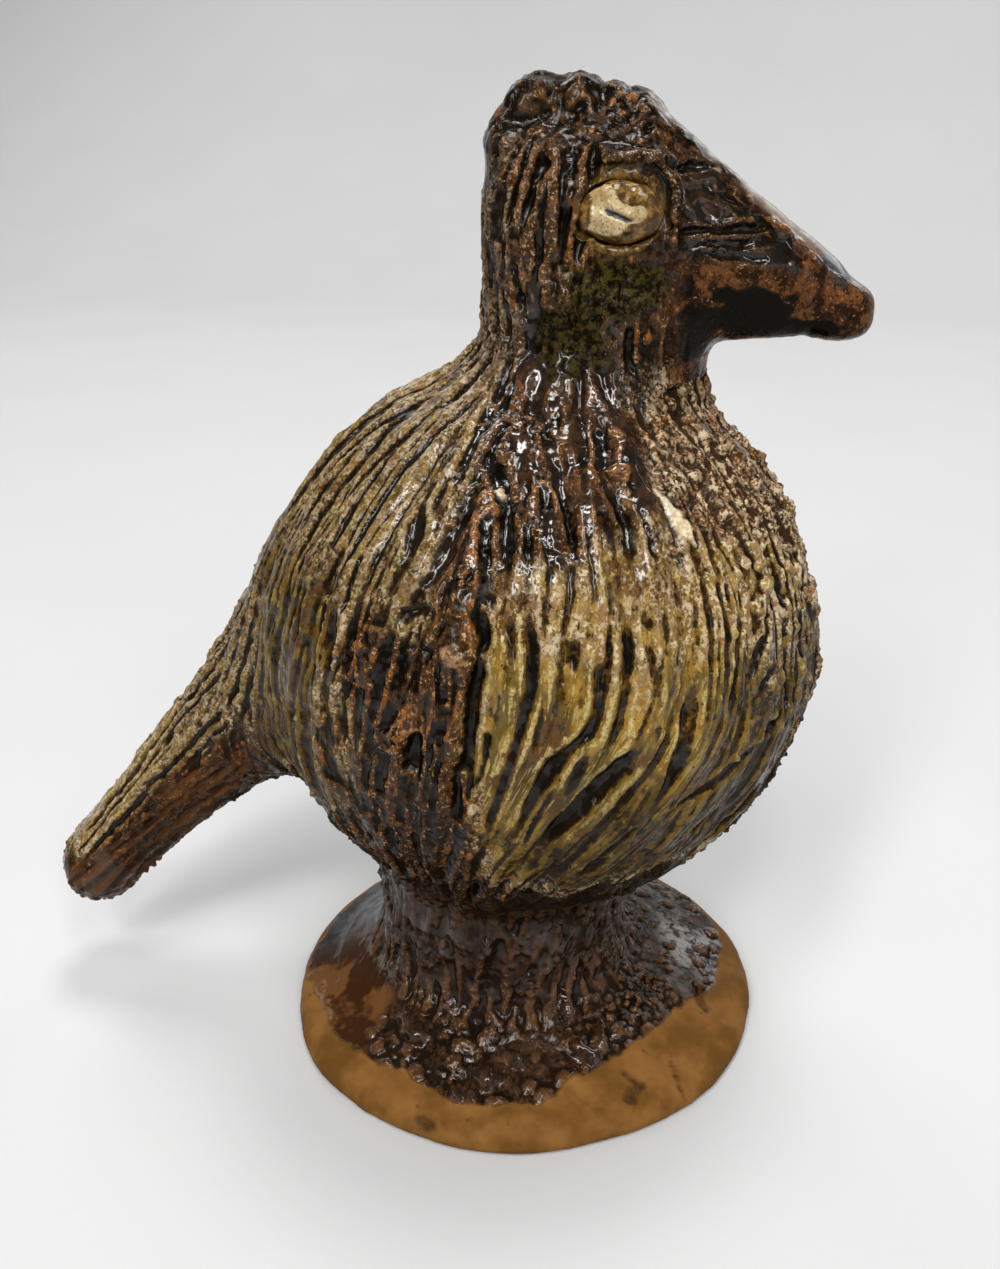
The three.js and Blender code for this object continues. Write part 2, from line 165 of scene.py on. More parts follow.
def part_way(ends, share):
    """The value at a share of the way between two."""
    return ends[0] + (ends[1] - ends[0]) * share


def rounded(offsets, radii):
    """Distance to a round form, from a point's offset and the form's radius along each of its axes."""
    k0 = np.sqrt(sum((q / r) ** 2 for q, r in zip(offsets, radii))) + 1e-6
    k1 = np.sqrt(sum((q / r / r) ** 2 for q, r in zip(offsets, radii))) + 1e-6
    return k0 * (k0 - 1) / k1


def ellipsoid(p, centre, radii):
    return rounded((p - np.float32(centre)).T, np.float32(radii))


def block(p, centre, radii, power):
    """A ball swollen towards a rounded block."""
    q = np.abs(p - np.float32(centre)) / np.float32(radii) + 1e-5
    f = (q**power).sum(1) ** (1 / power)
    slope = f[:, None] ** (1 - power) * q ** (power - 1) / np.float32(radii)
    return (f - 1) / (np.sqrt((slope * slope).sum(1)) + 1e-6)


# The globe leans back a little below its widest, over the stem.
GLOBE_SHEAR = 1.3


def globe_form(p):
    q = p.copy()
    below = np.clip((GLOBE[2] - p[:, 2]) / GLOBE_R[2], 0, 1.2)
    q[:, 0] += GLOBE_SHEAR * below
    return ellipsoid(q, GLOBE, GLOBE_R)


RIM_WIDTH = 9
RIM_THICKNESS = 3.7


def disc_form(p):
    x, y, z = p.T
    r = np.hypot(x, y)
    turn = np.arctan2(y, x)
    uneven = 0.35 * np.sin(2 * turn + 0.6) + 0.25 * np.sin(3 * turn + 2.2) + 0.15 * np.sin(7 * turn)
    edge = FOOT_R - 0.7 + uneven
    rise = smoothstep(edge - 1, edge - RIM_WIDTH - 3, r)
    top = RIM_THICKNESS - 0.2 + 0.15 * np.sin(3 * turn + 1) + (LAND_TOP - RIM_THICKNESS + 0.4) * rise
    return smax(smax(z - top, r - edge, 3.4), -z, 1.1)


WAIST_R = 15.6
FLARE = 4.6
FLARE_HEIGHT = 3.4


def stem_form(p):
    x, y, z = p.T
    r = np.hypot(x - STEM_X, y)
    flare = FLARE * np.exp(-np.clip(z - LAND_TOP + 1, 0, 60) / FLARE_HEIGHT)
    side = (r - WAIST_R - flare) * 0.9
    return smax(smax(side, z - GLOBE[2] + 18, 2), 3 - z, 2)


NECK_LEAN = math.radians(9.5)
NECK_R = (12.0, 10.6)
NECK_TOP = 93.0


def neck_form(p):
    x, y, z = p.T
    c, s = math.cos(NECK_LEAN), math.sin(NECK_LEAN)
    across = (x - GLOBE[0]) * c - (z - GLOBE[2]) * s
    side = rounded((across, y), NECK_R)
    return smax(smax(side, z - NECK_TOP, 3), GLOBE[2] + 14 - z, 2)


HEAD_HALF_LENGTH = 10.4
HEAD_RADII = (HEAD_HALF_LENGTH, (head_high[1] - head_low[1]) / 2, (head_high[2] - head_low[2]) / 2 + 0.2)
HEAD = np.array([head_low[0] + HEAD_HALF_LENGTH, 0, (head_low[2] + head_high[2]) / 2 - 0.2])


def head_form(p):
    return block(p, HEAD, HEAD_RADII, 2.9)


# The beak's faces, from its root at the face to its tip.
BEAK_TOP = (beak_high[2], beak_low[2] + 5.6)
BEAK_FLOOR = (beak_low[2] - 0.2, beak_low[2] + 0.9)
BEAK_HALF_WIDTH = ((beak_high[1] - beak_low[1]) / 2 + 0.2, 3.3)
BEAK_TOP_FLAT = 0.36
BEAK_FLOOR_FLAT = 0.6
# The ridge along each side lies at these shares of the beak's height, from its root to its tip.
BEAK_EDGE = (0.42, 0.7)
BEAK_NOSE = (3.4, 3.6, 3.0)


def beak_edge(t):
    """Height of the ridge along the beak's side."""
    ends = part_way(BEAK_FLOOR, t), part_way(BEAK_TOP, t)
    return part_way(ends, part_way(BEAK_EDGE, np.clip(t, 0, 1)))


def beak_form(p):
    x, y, z = p.T
    t = (x - FACE_X) / (beak_high[0] - FACE_X)
    y = np.abs(y)
    top, floor, half = (part_way(ends, t) for ends in (BEAK_TOP, BEAK_FLOOR, BEAK_HALF_WIDTH))
    edge = beak_edge(t)
    slope = (BEAK_TOP[0] - BEAK_TOP[1]) / (beak_high[0] - FACE_X)
    above = (z - top) / math.hypot(1, slope)
    under = floor - z

    def plane(y0, z0, y1, z1):
        run, drop = y1 - y0, z1 - z0
        return (-(y - y0) * drop + (z - z0) * run) / np.hypot(run, drop)

    upper = plane(half * BEAK_TOP_FLAT, top, half, edge)
    lower = plane(half, edge, half * BEAK_FLOOR_FLAT, floor)
    sides = smax(upper, lower, 1.6)
    solid = smax(smax(sides, above, 1.5), under, 1.8)
    nose_at = (beak_high[0] - BEAK_NOSE[0] + 0.2, 0, (BEAK_TOP[1] + BEAK_FLOOR[1]) / 2 - 0.2)
    nose = block(p, nose_at, BEAK_NOSE, 2.7)
    solid = smax(solid, x - beak_high[0] + 1.8, 2.4)
    solid = smin(solid, nose, 1.6)
    return smax(solid, FACE_X - 3 - x, 1)


# The comb's crest, how far forward and how far under the bird's top, and its lobes along it.
COMB_CREST = (
    (-4.0, 5.4), (-3.1, 2.3), (-2.0, 0.8), (-0.4, 0.1), (1.0, -0.25), (2.3, 0.15), (3.2, 0.1), (4.6, -0.2),
    (6.0, 0.4), (7.0, 1.1), (8.4, 0.9), (9.6, 1.6), (11.2, 1.9), (12.4, 2.9), (13.6, 4.5), (15.2, 5.8),
    (16.6, 6.8), (18.2, 8.2), (20.0, 9.6),
)
COMB_HALF_WIDTH = 3.5
COMB_FRONT_HALF_WIDTH = 2.0
COMB_ROUNDING = 3.2


def comb_form(p):
    x, y, z = p.T
    forward, down = zip(*COMB_CREST)
    crest = HEAD_TOP - np.interp(x, forward, down)
    half = np.interp(x, (10, 19), (COMB_HALF_WIDTH, COMB_FRONT_HALF_WIDTH))
    half = half + 0.05 * np.clip(crest - z, 0, 6)
    across = y - 0.4 * np.sin(0.7 * x)
    side = np.abs(across) - half
    wall = smax(side, (z - crest) * 0.8, COMB_ROUNDING)
    ends = np.maximum(forward[0] + 0.6 - x, x - forward[-1])
    return smax(smax(wall, ends, 1.5), comb_low[2] - 4 - z, 2)


# The tail's centreline and its half thickness and half width along it.
TAIL_ROOT = np.array([GLOBE[0] - GLOBE_R[0] + 9, 0, GLOBE[2] - 1.5])
TAIL_TIP = np.array([tail_low[0] + 5.3, 0, tail_low[2] + 6.0])
TAIL_BEND = (TAIL_ROOT + TAIL_TIP) / 2 + np.array([-1.4, 0, 1.5])
TAIL_STEPS = 14
TAIL_ROOT_SHARE = 0.9
TAIL_TIP_SIZES = (5.6, 6.8)
TAIL_ROOT_GAINS = (6.5, 4.6)


def tail_at(t):
    return (1 - t) ** 2 * TAIL_ROOT + 2 * t * (1 - t) * TAIL_BEND + t**2 * TAIL_TIP


def tail_sizes(t):
    """Half thickness and half width at a share of the tail's length."""
    fade = max(0, 1 - t / TAIL_ROOT_SHARE) ** 1.5
    return tuple(size + gain * fade for size, gain in zip(TAIL_TIP_SIZES, TAIL_ROOT_GAINS))


def tail_form(p):
    solid = None
    for i in range(TAIL_STEPS):
        t0, t1 = i / TAIL_STEPS, (i + 1) / TAIL_STEPS
        a, b = tail_at(t0), tail_at(t1)
        along = (b - a) / np.linalg.norm(b - a)
        across = np.array([-along[2], 0, along[0]])
        q = p - np.float32(a)
        s = np.clip((q @ np.float32(along)) / np.linalg.norm(b - a), 0, 1)
        high, wide = (part_way(ends, s) for ends in zip(tail_sizes(t0), tail_sizes(t1)))
        rest = q - s[:, None] * np.float32(b - a)
        lift = rest @ np.float32(across)
        ahead = rest @ np.float32(along)
        link = rounded((lift, rest[:, 1], ahead), (high, wide, high))
        solid = link if solid is None else np.minimum(solid, link)
    return solid


# The forms, how softly each joins those before it, and the space outside which it is not looked at.
FORMS = {
    "base_disc": disc_form,
    "pedestal_stem": stem_form,
    "globe": globe_form,
    "neck": neck_form,
    "head": head_form,
    "beak": beak_form,
    "comb": comb_form,
    "tail": tail_form,
}
FILLETS = {"pedestal_stem": 4.5, "globe": 3.5, "neck": 6, "head": 3.5, "beak": 2.2, "comb": 2.2, "tail": 7}
AROUND = 9
SPACES = {
    "base_disc": (disc_low, disc_high),
    "pedestal_stem": (stem_low, stem_high),
    "neck": (neck_low, neck_high + (0, 0, 3)),
    "head": (head_low, head_high),
    "beak": (beak_low, beak_high),
    "comb": (comb_low, comb_high + (6, 0, 0)),
    "tail": (tail_low, tail_high + (8, 0, 4)),
}
FAR = 30.0
SKIN_INSET = 0.3


def near_form(name, p):
    """Distance to one form, or far away where it does not matter."""
    if name not in SPACES:
        return FORMS[name](p)
    low, high = SPACES[name]
    close = ((p > np.float32(low - AROUND)) & (p < np.float32(high + AROUND))).all(1)
    distance = np.full(len(p), FAR, np.float32)
    if close.any():
        distance[close] = FORMS[name](p[close])
    return distance


def capsule(p, start, end, radius):
    a, b = np.float32(start), np.float32(end)
    t = np.clip(((p - a) @ (b - a)) / ((b - a) @ (b - a)), 0, 1)
    return np.sqrt(((p - a - t[:, None] * (b - a)) ** 2).sum(1)) - radius


# Ridges and hollows of the head, the same on both sides: brow, joint with the beak, temple and nape.
BROW = ((7.4, -8.3, 105.2), (13.5, -6.1, 104.7))
FACE_JOINT = ((13.7, -6.1, 104.5), (14.5, -8.1, 96.9))
TEMPLE = (7.2, -8.8, 107.7)
TEMPLE_RADII = (6.8, 3.2, 1.7)
NAPE = (-2.6, 0, 105.9)
NAPE_RADII = (2.3, 5.4, 3.1)
# The clay pressed up round the eye, at this share of the pellet's size.
LID = 1.06
LID_RADIUS = 0.5
LID_PLANE = 8.9


def face(p, solid):
    """The head's finer forms, laid on or cut into the clay."""
    q = p.copy()
    q[:, 1] = -np.abs(p[:, 1])
    eye_radii = (eye_high - eye_low) / 2
    solid = smin(solid, ellipsoid(q, NAPE, NAPE_RADII), 1.2)
    solid = smax(solid, -ellipsoid(q, TEMPLE, TEMPLE_RADII), 1.2)
    solid = smin(solid, capsule(q, *BROW, 0.85), 1.1)
    solid = smin(solid, capsule(q, *FACE_JOINT, 0.5), 1.1)
    off_pellet = np.hypot((q[:, 0] - EYE[0]) / eye_radii[0], (q[:, 2] - EYE[2]) / eye_radii[2]) - LID
    lid = np.hypot(off_pellet * (eye_radii[0] + eye_radii[2]) / 2, q[:, 1] + LID_PLANE) - LID_RADIUS
    solid = smin(solid, lid, 1.0)
    return smax(solid, -ellipsoid(q, EYE, eye_radii - 0.15), 0.4)


def clay(p):
    """Distance to the whole form, all joints smoothed with slip."""
    p = np.asarray(p, np.float32)
    solid = None
    for name in FORMS:
        part = near_form(name, p)
        solid = part if solid is None else smin(solid, part, FILLETS[name])
    at_head = p[:, 2] > head_low[2] - 4
    if at_head.any():
        solid[at_head] = face(p[at_head], solid[at_head])
    return solid + SKIN_INSET


def gradient(p, h):
    """Unit direction in which the distance grows, from four samples."""
    corners = np.float32([[1, -1, -1], [-1, -1, 1], [-1, 1, -1], [1, 1, 1]])
    g = sum(c * clay(p + c * h)[:, None] for c in corners)
    return g / (np.linalg.norm(g, axis=1, keepdims=True) + 1e-9)


def settle(p, rounds=2, h=0.12):
    """Points moved onto the clay's surface."""
    for _ in range(rounds):
        p = p - gradient(p, h) * clay(p)[:, None]
    return p


# Places on the clay.

# A ray starts this far from the camera, or from the bird's axis, and takes so many steps.
SIGHT_START, SIGHT_STEPS = 80, 40
AXIS_START, AXIS_STEPS = 44, 22
STEP_SHARE = 0.85
STEP_LIMITS = (-3, 6)


def marched(start, direction, steps):
    """Points moved along their rays until they meet the clay."""
    p = np.array(start, float)
    for _ in range(steps):
        p = p + direction * np.clip(clay(p) * STEP_SHARE, *STEP_LIMITS)[:, None]
    return settle(p, 1)


def seen(pixels):
    """Points of the clay that the camera sees at pixels of the photograph."""
    x, y = np.array(pixels, float).T
    across = np.array([math.cos(YAW), math.sin(YAW), 0])
    down = np.cross(LOOK, across)
    away = x - PHOTO_WIDTH / 2, y - PHOTO_HEIGHT / 2
    rays = LOOK * FOCAL_PIXELS + across * away[0][:, None] + down * away[1][:, None]
    rays /= np.linalg.norm(rays, axis=1, keepdims=True)
    return marched(CAMERA + rays * SIGHT_START, rays, SIGHT_STEPS)


def axis_x(height):
    """Where the bird's axis stands at a height: over the stem, in the globe, and leaning up the neck."""
    heights = (LAND_TOP, stem_high[2], GLOBE[2], head_high[2])
    return np.interp(height, heights, (STEM_X, STEM_X, GLOBE[0], HEAD[0]))


def around(turn, height):
    """Points of the clay at a turn from the beak, in degrees, and a height."""
    turn, height = np.radians(turn), np.asarray(height, float)
    inward = -np.stack([np.cos(turn), np.sin(turn), 0 * turn], -1)
    start = np.stack([axis_x(height), 0 * height, height], -1) - inward * AXIS_START
    return marched(start, inward, AXIS_STEPS)


# A mesh of the surface, by surface nets on a grid, then one even subdivision.

VOXEL = 0.52
MARGIN = 2.5
EVENING = 0.6


def surface_nets(step):
    lowest = np.min([disc_low, globe_low, tail_low], axis=0) - MARGIN
    highest = np.max([disc_high, globe_high, comb_high, beak_high], axis=0) + MARGIN
    counts = np.ceil((highest - lowest) / step).astype(int) + 1
    axes = [np.float32(lowest[a] + step * np.arange(counts[a])) for a in range(3)]
    field = np.empty(counts, np.float32)
    sheet = np.stack(np.meshgrid(axes[1], axes[2], indexing="ij"), -1).reshape(-1, 2)
    slab = 12
    for start in range(0, counts[0], slab):
        xs = axes[0][start:start + slab]
        points = np.empty((len(xs), len(sheet), 3), np.float32)
        points[:, :, 0] = xs[:, None]
        points[:, :, 1:] = sheet
        field[start:start + slab] = clay(points.reshape(-1, 3)).reshape(len(xs), counts[1], counts[2])
    inside = field < 0
    cells = tuple(counts - 1)
    filled = np.zeros(cells, np.uint8)
    for a, b, c in CORNERS:
        filled += inside[a:a + cells[0], b:b + cells[1], c:c + cells[2]]
    active = np.argwhere((filled > 0) & (filled < 8))
    ids = np.full(cells, -1, np.int32)
    ids[tuple(active.T)] = np.arange(len(active))
    corner = {s: field[tuple((active + s).T)] for s in CORNERS}
    total = np.zeros((len(active), 3), np.float32)
    hits = np.zeros(len(active), np.float32)
    for first in CORNERS:
        for axis in range(3):
            if first[axis]:
                continue
            second = tuple(first[k] + (k == axis) for k in range(3))
            f0, f1 = corner[first], corner[second]
            crossing = (f0 < 0) != (f1 < 0)
            t = np.where(crossing, f0 / np.where(crossing, f0 - f1, 1), 0)
            spot = np.float32(first) + t[:, None] * np.eye(3, dtype=np.float32)[axis]
            total += spot * crossing[:, None]
            hits += crossing
    vertices = (active + total / hits[:, None]) * step + lowest
    quads = []
    for axis in range(3):
        u, v = (axis + 1) % 3, (axis + 2) % 3
        size = counts.copy()
        size[axis] -= 1
        here = inside[tuple(slice(0, n) for n in size)]
        shift = [slice(None)] * 3
        shift[axis] = slice(1, None)
        there = inside[tuple(shift)]
        edges = np.argwhere(here != there)
        ok = (edges[:, u] > 0) & (edges[:, v] > 0) & (edges[:, u] < cells[u]) & (edges[:, v] < cells[v])
        edges = edges[ok]
        du, dv = np.eye(3, dtype=int)[u], np.eye(3, dtype=int)[v]
        ring = [ids[tuple((edges - off).T)] for off in (du + dv, dv, 0 * du, du)]
        ring = np.stack(ring, 1)
        outward = here[tuple(edges.T)]
        quads.append(np.where(outward[:, None], ring, ring[:, ::-1]))
    quads = np.concatenate(quads)
    return vertices, quads[(quads >= 0).all(1)]


def subdivided(vertices, quads):
    """Each quad parted into four."""
    count = len(vertices)
    pairs = np.stack([quads, np.roll(quads, -1, axis=1)], -1)
    ends = np.sort(pairs.reshape(-1, 2), axis=1)
    code = ends[:, 0].astype(np.int64) * count + ends[:, 1]
    unique, inverse = np.unique(code, return_inverse=True)
    middles = (vertices[unique // count] + vertices[unique % count]) / 2
    centres = vertices[quads].mean(1)
    edge = inverse.reshape(-1, 4) + count
    centre = np.arange(len(quads)) + count + len(unique)
    parts = [np.stack([quads[:, k], edge[:, k], centre, edge[:, k - 1]], 1) for k in range(4)]
    return np.concatenate([vertices, middles, centres]), np.stack(parts, 1).reshape(-1, 4)


def relaxed(vertices, quads, rounds):
    """Vertices evened out along the surface."""
    count = len(vertices)
    for _ in range(rounds):
        total = np.zeros((count, 3))
        hits = np.zeros(count)
        for k in range(4):
            a, b = quads[:, k], quads[:, (k + 1) % 4]
            for i, j in ((a, b), (b, a)):
                for axis in range(3):
                    total[:, axis] += np.bincount(i, vertices[j, axis], count)
                hits += np.bincount(i, minlength=count)
        vertices = settle(vertices * (1 - EVENING) + EVENING * total / hits[:, None], 1)
    return vertices


def face_normals(vertices, quads):
    a, b, c, d = (vertices[quads[:, k]] for k in range(4))
    return np.cross(c - a, d - b)


def vertex_normals(vertices, quads):
    across = face_normals(vertices, quads)
    normals = np.zeros((len(vertices), 3))
    for k in range(4):
        for axis in range(3):
            normals[:, axis] += np.bincount(quads[:, k], across[:, axis], len(vertices))
    return normals / (np.linalg.norm(normals, axis=1, keepdims=True) + 1e-12)


# Strokes of the toothed stick, each cut into the skin after the last.

class Skin:
    """The surface, its depth so far, and the points near any place on it."""

    CELL = 2.2

    def __init__(self, vertices, normals, raggedness):
        self.points = vertices
        self.normals = normals
        self.depth = np.zeros(len(vertices))
        self.cut = np.zeros(len(vertices))
        self.fray = raggedness * (0.6 * noise(vertices, 1.4, 61) + 0.5 * noise(vertices, 0.7, 62))
        self.beads = grains(vertices, 1.05, 63) * smoothstep(-0.5, 0.5, noise(vertices, 3, 64))
        self.filled = raggedness * 0.75 * smoothstep(0.1, 0.5, noise(vertices, 2.3, 65))
        code = self.code_of(vertices)
        self.order = np.argsort(code, kind="stable")
        self.codes, self.starts = np.unique(code[self.order], return_index=True)
        self.ends = np.append(self.starts[1:], len(code))

    def code_of(self, points, shift=(0, 0, 0)):
        key = np.floor(points / self.CELL).astype(np.int64) + 512 + np.array(shift)
        return (key[..., 0] << 20) + (key[..., 1] << 10) + key[..., 2]

    def near(self, path):
        shifts = [(a, b, c) for a in (-1, 0, 1) for b in (-1, 0, 1) for c in (-1, 0, 1)]
        code = np.unique(np.concatenate([self.code_of(path, shift) for shift in shifts]))
        slot = np.searchsorted(self.codes, code)
        code, slot = code[slot < len(self.codes)], slot[slot < len(self.codes)]
        slot = slot[self.codes[slot] == code]
        found = [self.order[self.starts[i]:self.ends[i]] for i in slot]
        return np.concatenate(found) if found else np.array([], int)

    def stroke(self, path, width, depth, lip=0.2, power=2.2, seed=0, blunt=2.0, rough=1.0):
        """Cuts one groove along a path: a round-bottomed trench with crumbs pushed up beside it."""
        near = self.near(path)
        if len(near) == 0 or len(path) < 3:
            return
        points = np.float32(self.points[near])
        start, step = np.float32(path[:-1]), np.float32(path[1:] - path[:-1])
        length = np.linalg.norm(step, axis=1) + 1e-6
        along = np.concatenate([[0], np.cumsum(length)])
        t = points @ (step / length[:, None] ** 2).T - (start * step).sum(1) / length**2
        t = np.clip(t, 0, 1)
        far = sum((points[:, k, None] - start[:, k] - t * step[:, k]) ** 2 for k in range(3))
        best = far.argmin(1)
        rows = np.arange(len(near))
        place = along[best] + t[rows, best] * length[best]
        distance = np.sqrt(far[rows, best])
        fade = smoothstep(0, blunt, place) * smoothstep(0, blunt * 1.5, along[-1] - place)
        waver = 1 + 0.3 * noise(np.stack([place, 0 * place + seed, 0 * place], 1), 3.5, seed)
        half = width / 2 * waver * (0.35 + 0.65 * fade)
        u = np.maximum(0, (distance + 0.3 * rough * self.fray[near]) / half)
        trench = -depth * fade * (0.4 + 0.6 * waver) * np.maximum(0, 1 - np.minimum(u, 1) ** power)
        before = self.depth[near]
        trench = trench * (1 - min(1, rough) * self.filled[near])
        inside = (u < 1) & (trench < before)
        bank = lip * fade * np.exp(-(((u - 1.2) / 0.26) ** 2)) * (0.3 + 1.6 * rough * self.beads[near])
        self.depth[near] = np.where(inside, trench, before + bank * (u >= 1))
        self.cut[near] = np.where(inside, -trench, self.cut[near] * (1 - 0.5 * np.minimum(1, bank / 0.15)))


def pull(path, teeth=1, spacing=2.0, width=1.7, depth=0.8, **look):
    """One pull of the stick over a path: several teeth side by side."""
    return {"path": np.asarray(path, float), "teeth": teeth, "spacing": spacing,
            "width": width, "depth": depth, "look": look}


def rounded_path(points, spacing=1.1):
    """A drawn line with its corners rounded and its points evenly spaced."""
    points = np.asarray(points, float)
    for _ in range(2):
        a, b = points[:-1], points[1:]
        middle = np.stack([a * 0.75 + b * 0.25, a * 0.25 + b * 0.75], 1).reshape(-1, points.shape[1])
        points = np.concatenate([points[:1], middle, points[-1:]])
    along = np.concatenate([[0], np.cumsum(np.linalg.norm(np.diff(points, axis=0), axis=1))])
    even = np.linspace(0, along[-1], max(4, int(along[-1] / spacing)))
    return np.stack([np.interp(even, along, points[:, k]) for k in range(points.shape[1])], 1)


def split_like(points, parts):
    return np.split(points, np.cumsum([len(part) for part in parts])[:-1])


def cut(skin, pulls, rng):
    """Cuts all pulls in their order."""
    paths = [each["path"] for each in pulls]
    settled = settle(np.concatenate(paths), 2)
    outward = gradient(settled, 0.4)
    lines, looks = [], []
    for each, path, normal in zip(pulls, split_like(settled, paths), split_like(outward, paths)):
        across = np.cross(normal, np.gradient(path, axis=0))
        across /= np.linalg.norm(across, axis=1, keepdims=True) + 1e-9
        for tooth in range(each["teeth"]):
            alone = each["teeth"] == 1
            shift = 0 if alone else (tooth - (each["teeth"] - 1) / 2 + rng.normal(0, 0.1)) * each["spacing"]
            first, last = (0, 0) if alone else (rng.uniform(0, 0.14, 2) * len(path)).astype(int)
            lines.append((path + across * shift)[first:len(path) - last])
            looks.append({
                "width": each["width"] * (1 if alone else rng.uniform(0.5, 1.35)),
                "depth": each["depth"] * (1 if alone else rng.uniform(0.55, 1.25)),
                "seed": int(rng.integers(1, 9999)),
                **each["look"],
            })
    settled = settle(np.concatenate(lines), 2)
    for line, look in zip(split_like(settled, lines), looks):
        skin.stroke(line, **look)


# Where a stroke drifts as it goes down: low on the breast the strokes sweep back towards the stem.
SWEEP = 1.15
SWEEP_TOP, SWEEP_FULL = 64, 50


def drift(turn, height):
    """Degrees of turn for each millimetre down."""
    side = np.sin(np.radians(turn))
    front = smoothstep(-0.35, 0.5, np.cos(np.radians(turn)))
    return SWEEP * front * side * smoothstep(SWEEP_TOP, SWEEP_FULL, height)


# The broad strokes under the fine ones, as in the CAD bowls.
STROKE_COUNT = 28
STROKE_DEPTH = 1.0
STROKE_FIRST = 5.9
STROKE_STRAY = 1.8


def stroke_turn(points):
    """The turn at which a stroke through each point starts, above where the strokes sweep."""
    x, y, z = points.T
    turn = np.degrees(np.arctan2(y, x - axis_x(z)))
    height = z.copy()
    for _ in range(int(SWEEP_TOP - stem_high[2])):
        low = height < SWEEP_TOP
        turn = np.where(low, turn - drift(turn, height), turn)
        height = np.where(low, height + 1, height)
    return turn


def broad_strokes(points):
    """How deep each point lies in a broad stroke of the globe, from 0 to 1."""
    x, y, z = points.T
    turn = stroke_turn(points)
    k = np.arange(-1, STROKE_COUNT + 1)
    starts = STROKE_FIRST + 360 * k / STROKE_COUNT + STROKE_STRAY * np.sin(2.4 * (k % STROKE_COUNT))
    phase = np.interp(turn % 360, starts, k) % 1
    groove = smoothstep(0.36, 0, np.minimum(phase, 1 - phase))
    off_tail = np.hypot(y, z - TAIL_ROOT[2])
    clear = smoothstep(82, 77, z) * smoothstep(25, 30, z)
    clear = clear * np.where(x < 0, smoothstep(10, 15, off_tail), 1)
    on_globe = smoothstep(GLOBE_R[0] + 3, GLOBE_R[0] + 1.5, np.linalg.norm(points - GLOBE, axis=1))
    return groove * clear * on_globe


# Streaks are this much longer than wide.
STREAK_LENGTH = 9


def flow(points):
    """A place for each point in a space where strokes are straight and short, for streaks along them."""
    x, y, z = points.T
    turn = np.radians(stroke_turn(points))
    out = np.hypot(x - axis_x(z), y)
    place = np.stack([out * np.cos(turn), out * np.sin(turn), z / STREAK_LENGTH], 1)
    down_tail = np.stack([y, z - TAIL_BEND[2] - 0.9 * (x - TAIL_BEND[0]), x / STREAK_LENGTH], 1)
    on_tail = x < TAIL_ROOT[0] - 10
    place[on_tail] = down_tail[on_tail] + 50
    along_beak = np.stack([y, z + 0.4 * x, x / STREAK_LENGTH], 1)
    on_beak = (x > FACE_X) & (z > beak_low[2] - 1)
    place[on_beak] = along_beak[on_beak] + 90
    return place


def downward(turn, top, bottom, rng, sway=0.3):
    """A path down the clay from one height to another."""
    count = max(5, int((top - bottom) / 1.0))
    heights = np.linspace(top, bottom, count)
    turns = np.empty(count)
    lean = rng.normal(0, 0.12)
    for i in range(count):
        turns[i] = turn
        lean = 0.9 * lean + rng.normal(0, 0.1)
        turn = turn + (drift(turn, heights[i]) + sway * lean * 3) * (top - bottom) / count
    return np.stack([turns, heights], 1)


def traced(paths):
    """Turn and height paths, found on the clay all at once."""
    flat = np.concatenate(paths)
    return split_like(around(flat[:, 0], flat[:, 1]), paths)


# The side of the body that the drawn grooves cover, in degrees of turn.
DRAWN_SIDE = (-136, -12)
FLANK_START = -97
TEETH = 3
GOUGE_COUNT = 170
SCRATCH_COUNT = 260
TAIL_PULL_COUNT = 13


def body_pulls(rng):
    """Tiers of deep and fine strokes down the body, from the neck on to the stem, and short gouges."""
    tiers = (
        # top, bottom, deep pulls, fine pulls, how far the ends stray
        (84, 62, 16, 26, 2.5),
        (72, 44, 22, 30, 4.0),
        (60, 34, 18, 26, 5.0),
        (45, 26.5, 16, 22, 3.0),
    )
    pulls = []
    for top, bottom, deep, fine, stray in tiers:
        for count, spacing, width, depth in ((deep, 2.0, 1.75, 0.75), (fine, 1.1, 0.95, 0.34)):
            turns = (np.arange(count) * 360 / count + rng.normal(0, 4, count) + 180) % 360 - 180
            paths = []
            for turn in rng.permutation(turns):
                high = min(86, top + rng.normal(0, stray))
                low = max(25, bottom + rng.normal(0, stray))
                paths.append(downward(turn, high, low, rng))
            for path, place in zip(paths, traced(paths)):
                drawn = DRAWN_SIDE[0] < path[0, 0] < DRAWN_SIDE[1]
                drawn_share = 0.4 if path[0, 0] > FLANK_START else 0.8
                share = drawn_share if drawn and count == deep else 1
                size = rng.uniform(0.75, 1.25)
                wide = width * size * (0.5 + 0.5 * share)
                pulls.append(pull(place, TEETH, spacing * size, wide, depth * share, power=3, blunt=5))
    gouges = []
    for _ in range(GOUGE_COUNT):
        top = rng.uniform(34, 80)
        gouges.append(downward(rng.uniform(-180, 180), top, top - rng.uniform(3, 9), rng))
    for path in traced(gouges):
        width, depth = rng.uniform(0.6, 1.4), rng.uniform(0.4, 0.9)
        pulls.append(pull(path, width=width, depth=depth, blunt=1.8, rough=1.6))
    return pulls


def scratch_pulls(rng):
    """Fine scratches that the wood left beside and inside the grooves."""
    paths = []
    for _ in range(SCRATCH_COUNT):
        top = rng.uniform(38, 84)
        paths.append(downward(rng.uniform(-180, 180), top, top - rng.uniform(5, 16), rng))
    return [pull(path, 2, 0.8, 0.6, rng.uniform(0.12, 0.28), lip=0.05, rough=0.4) for path in traced(paths)]


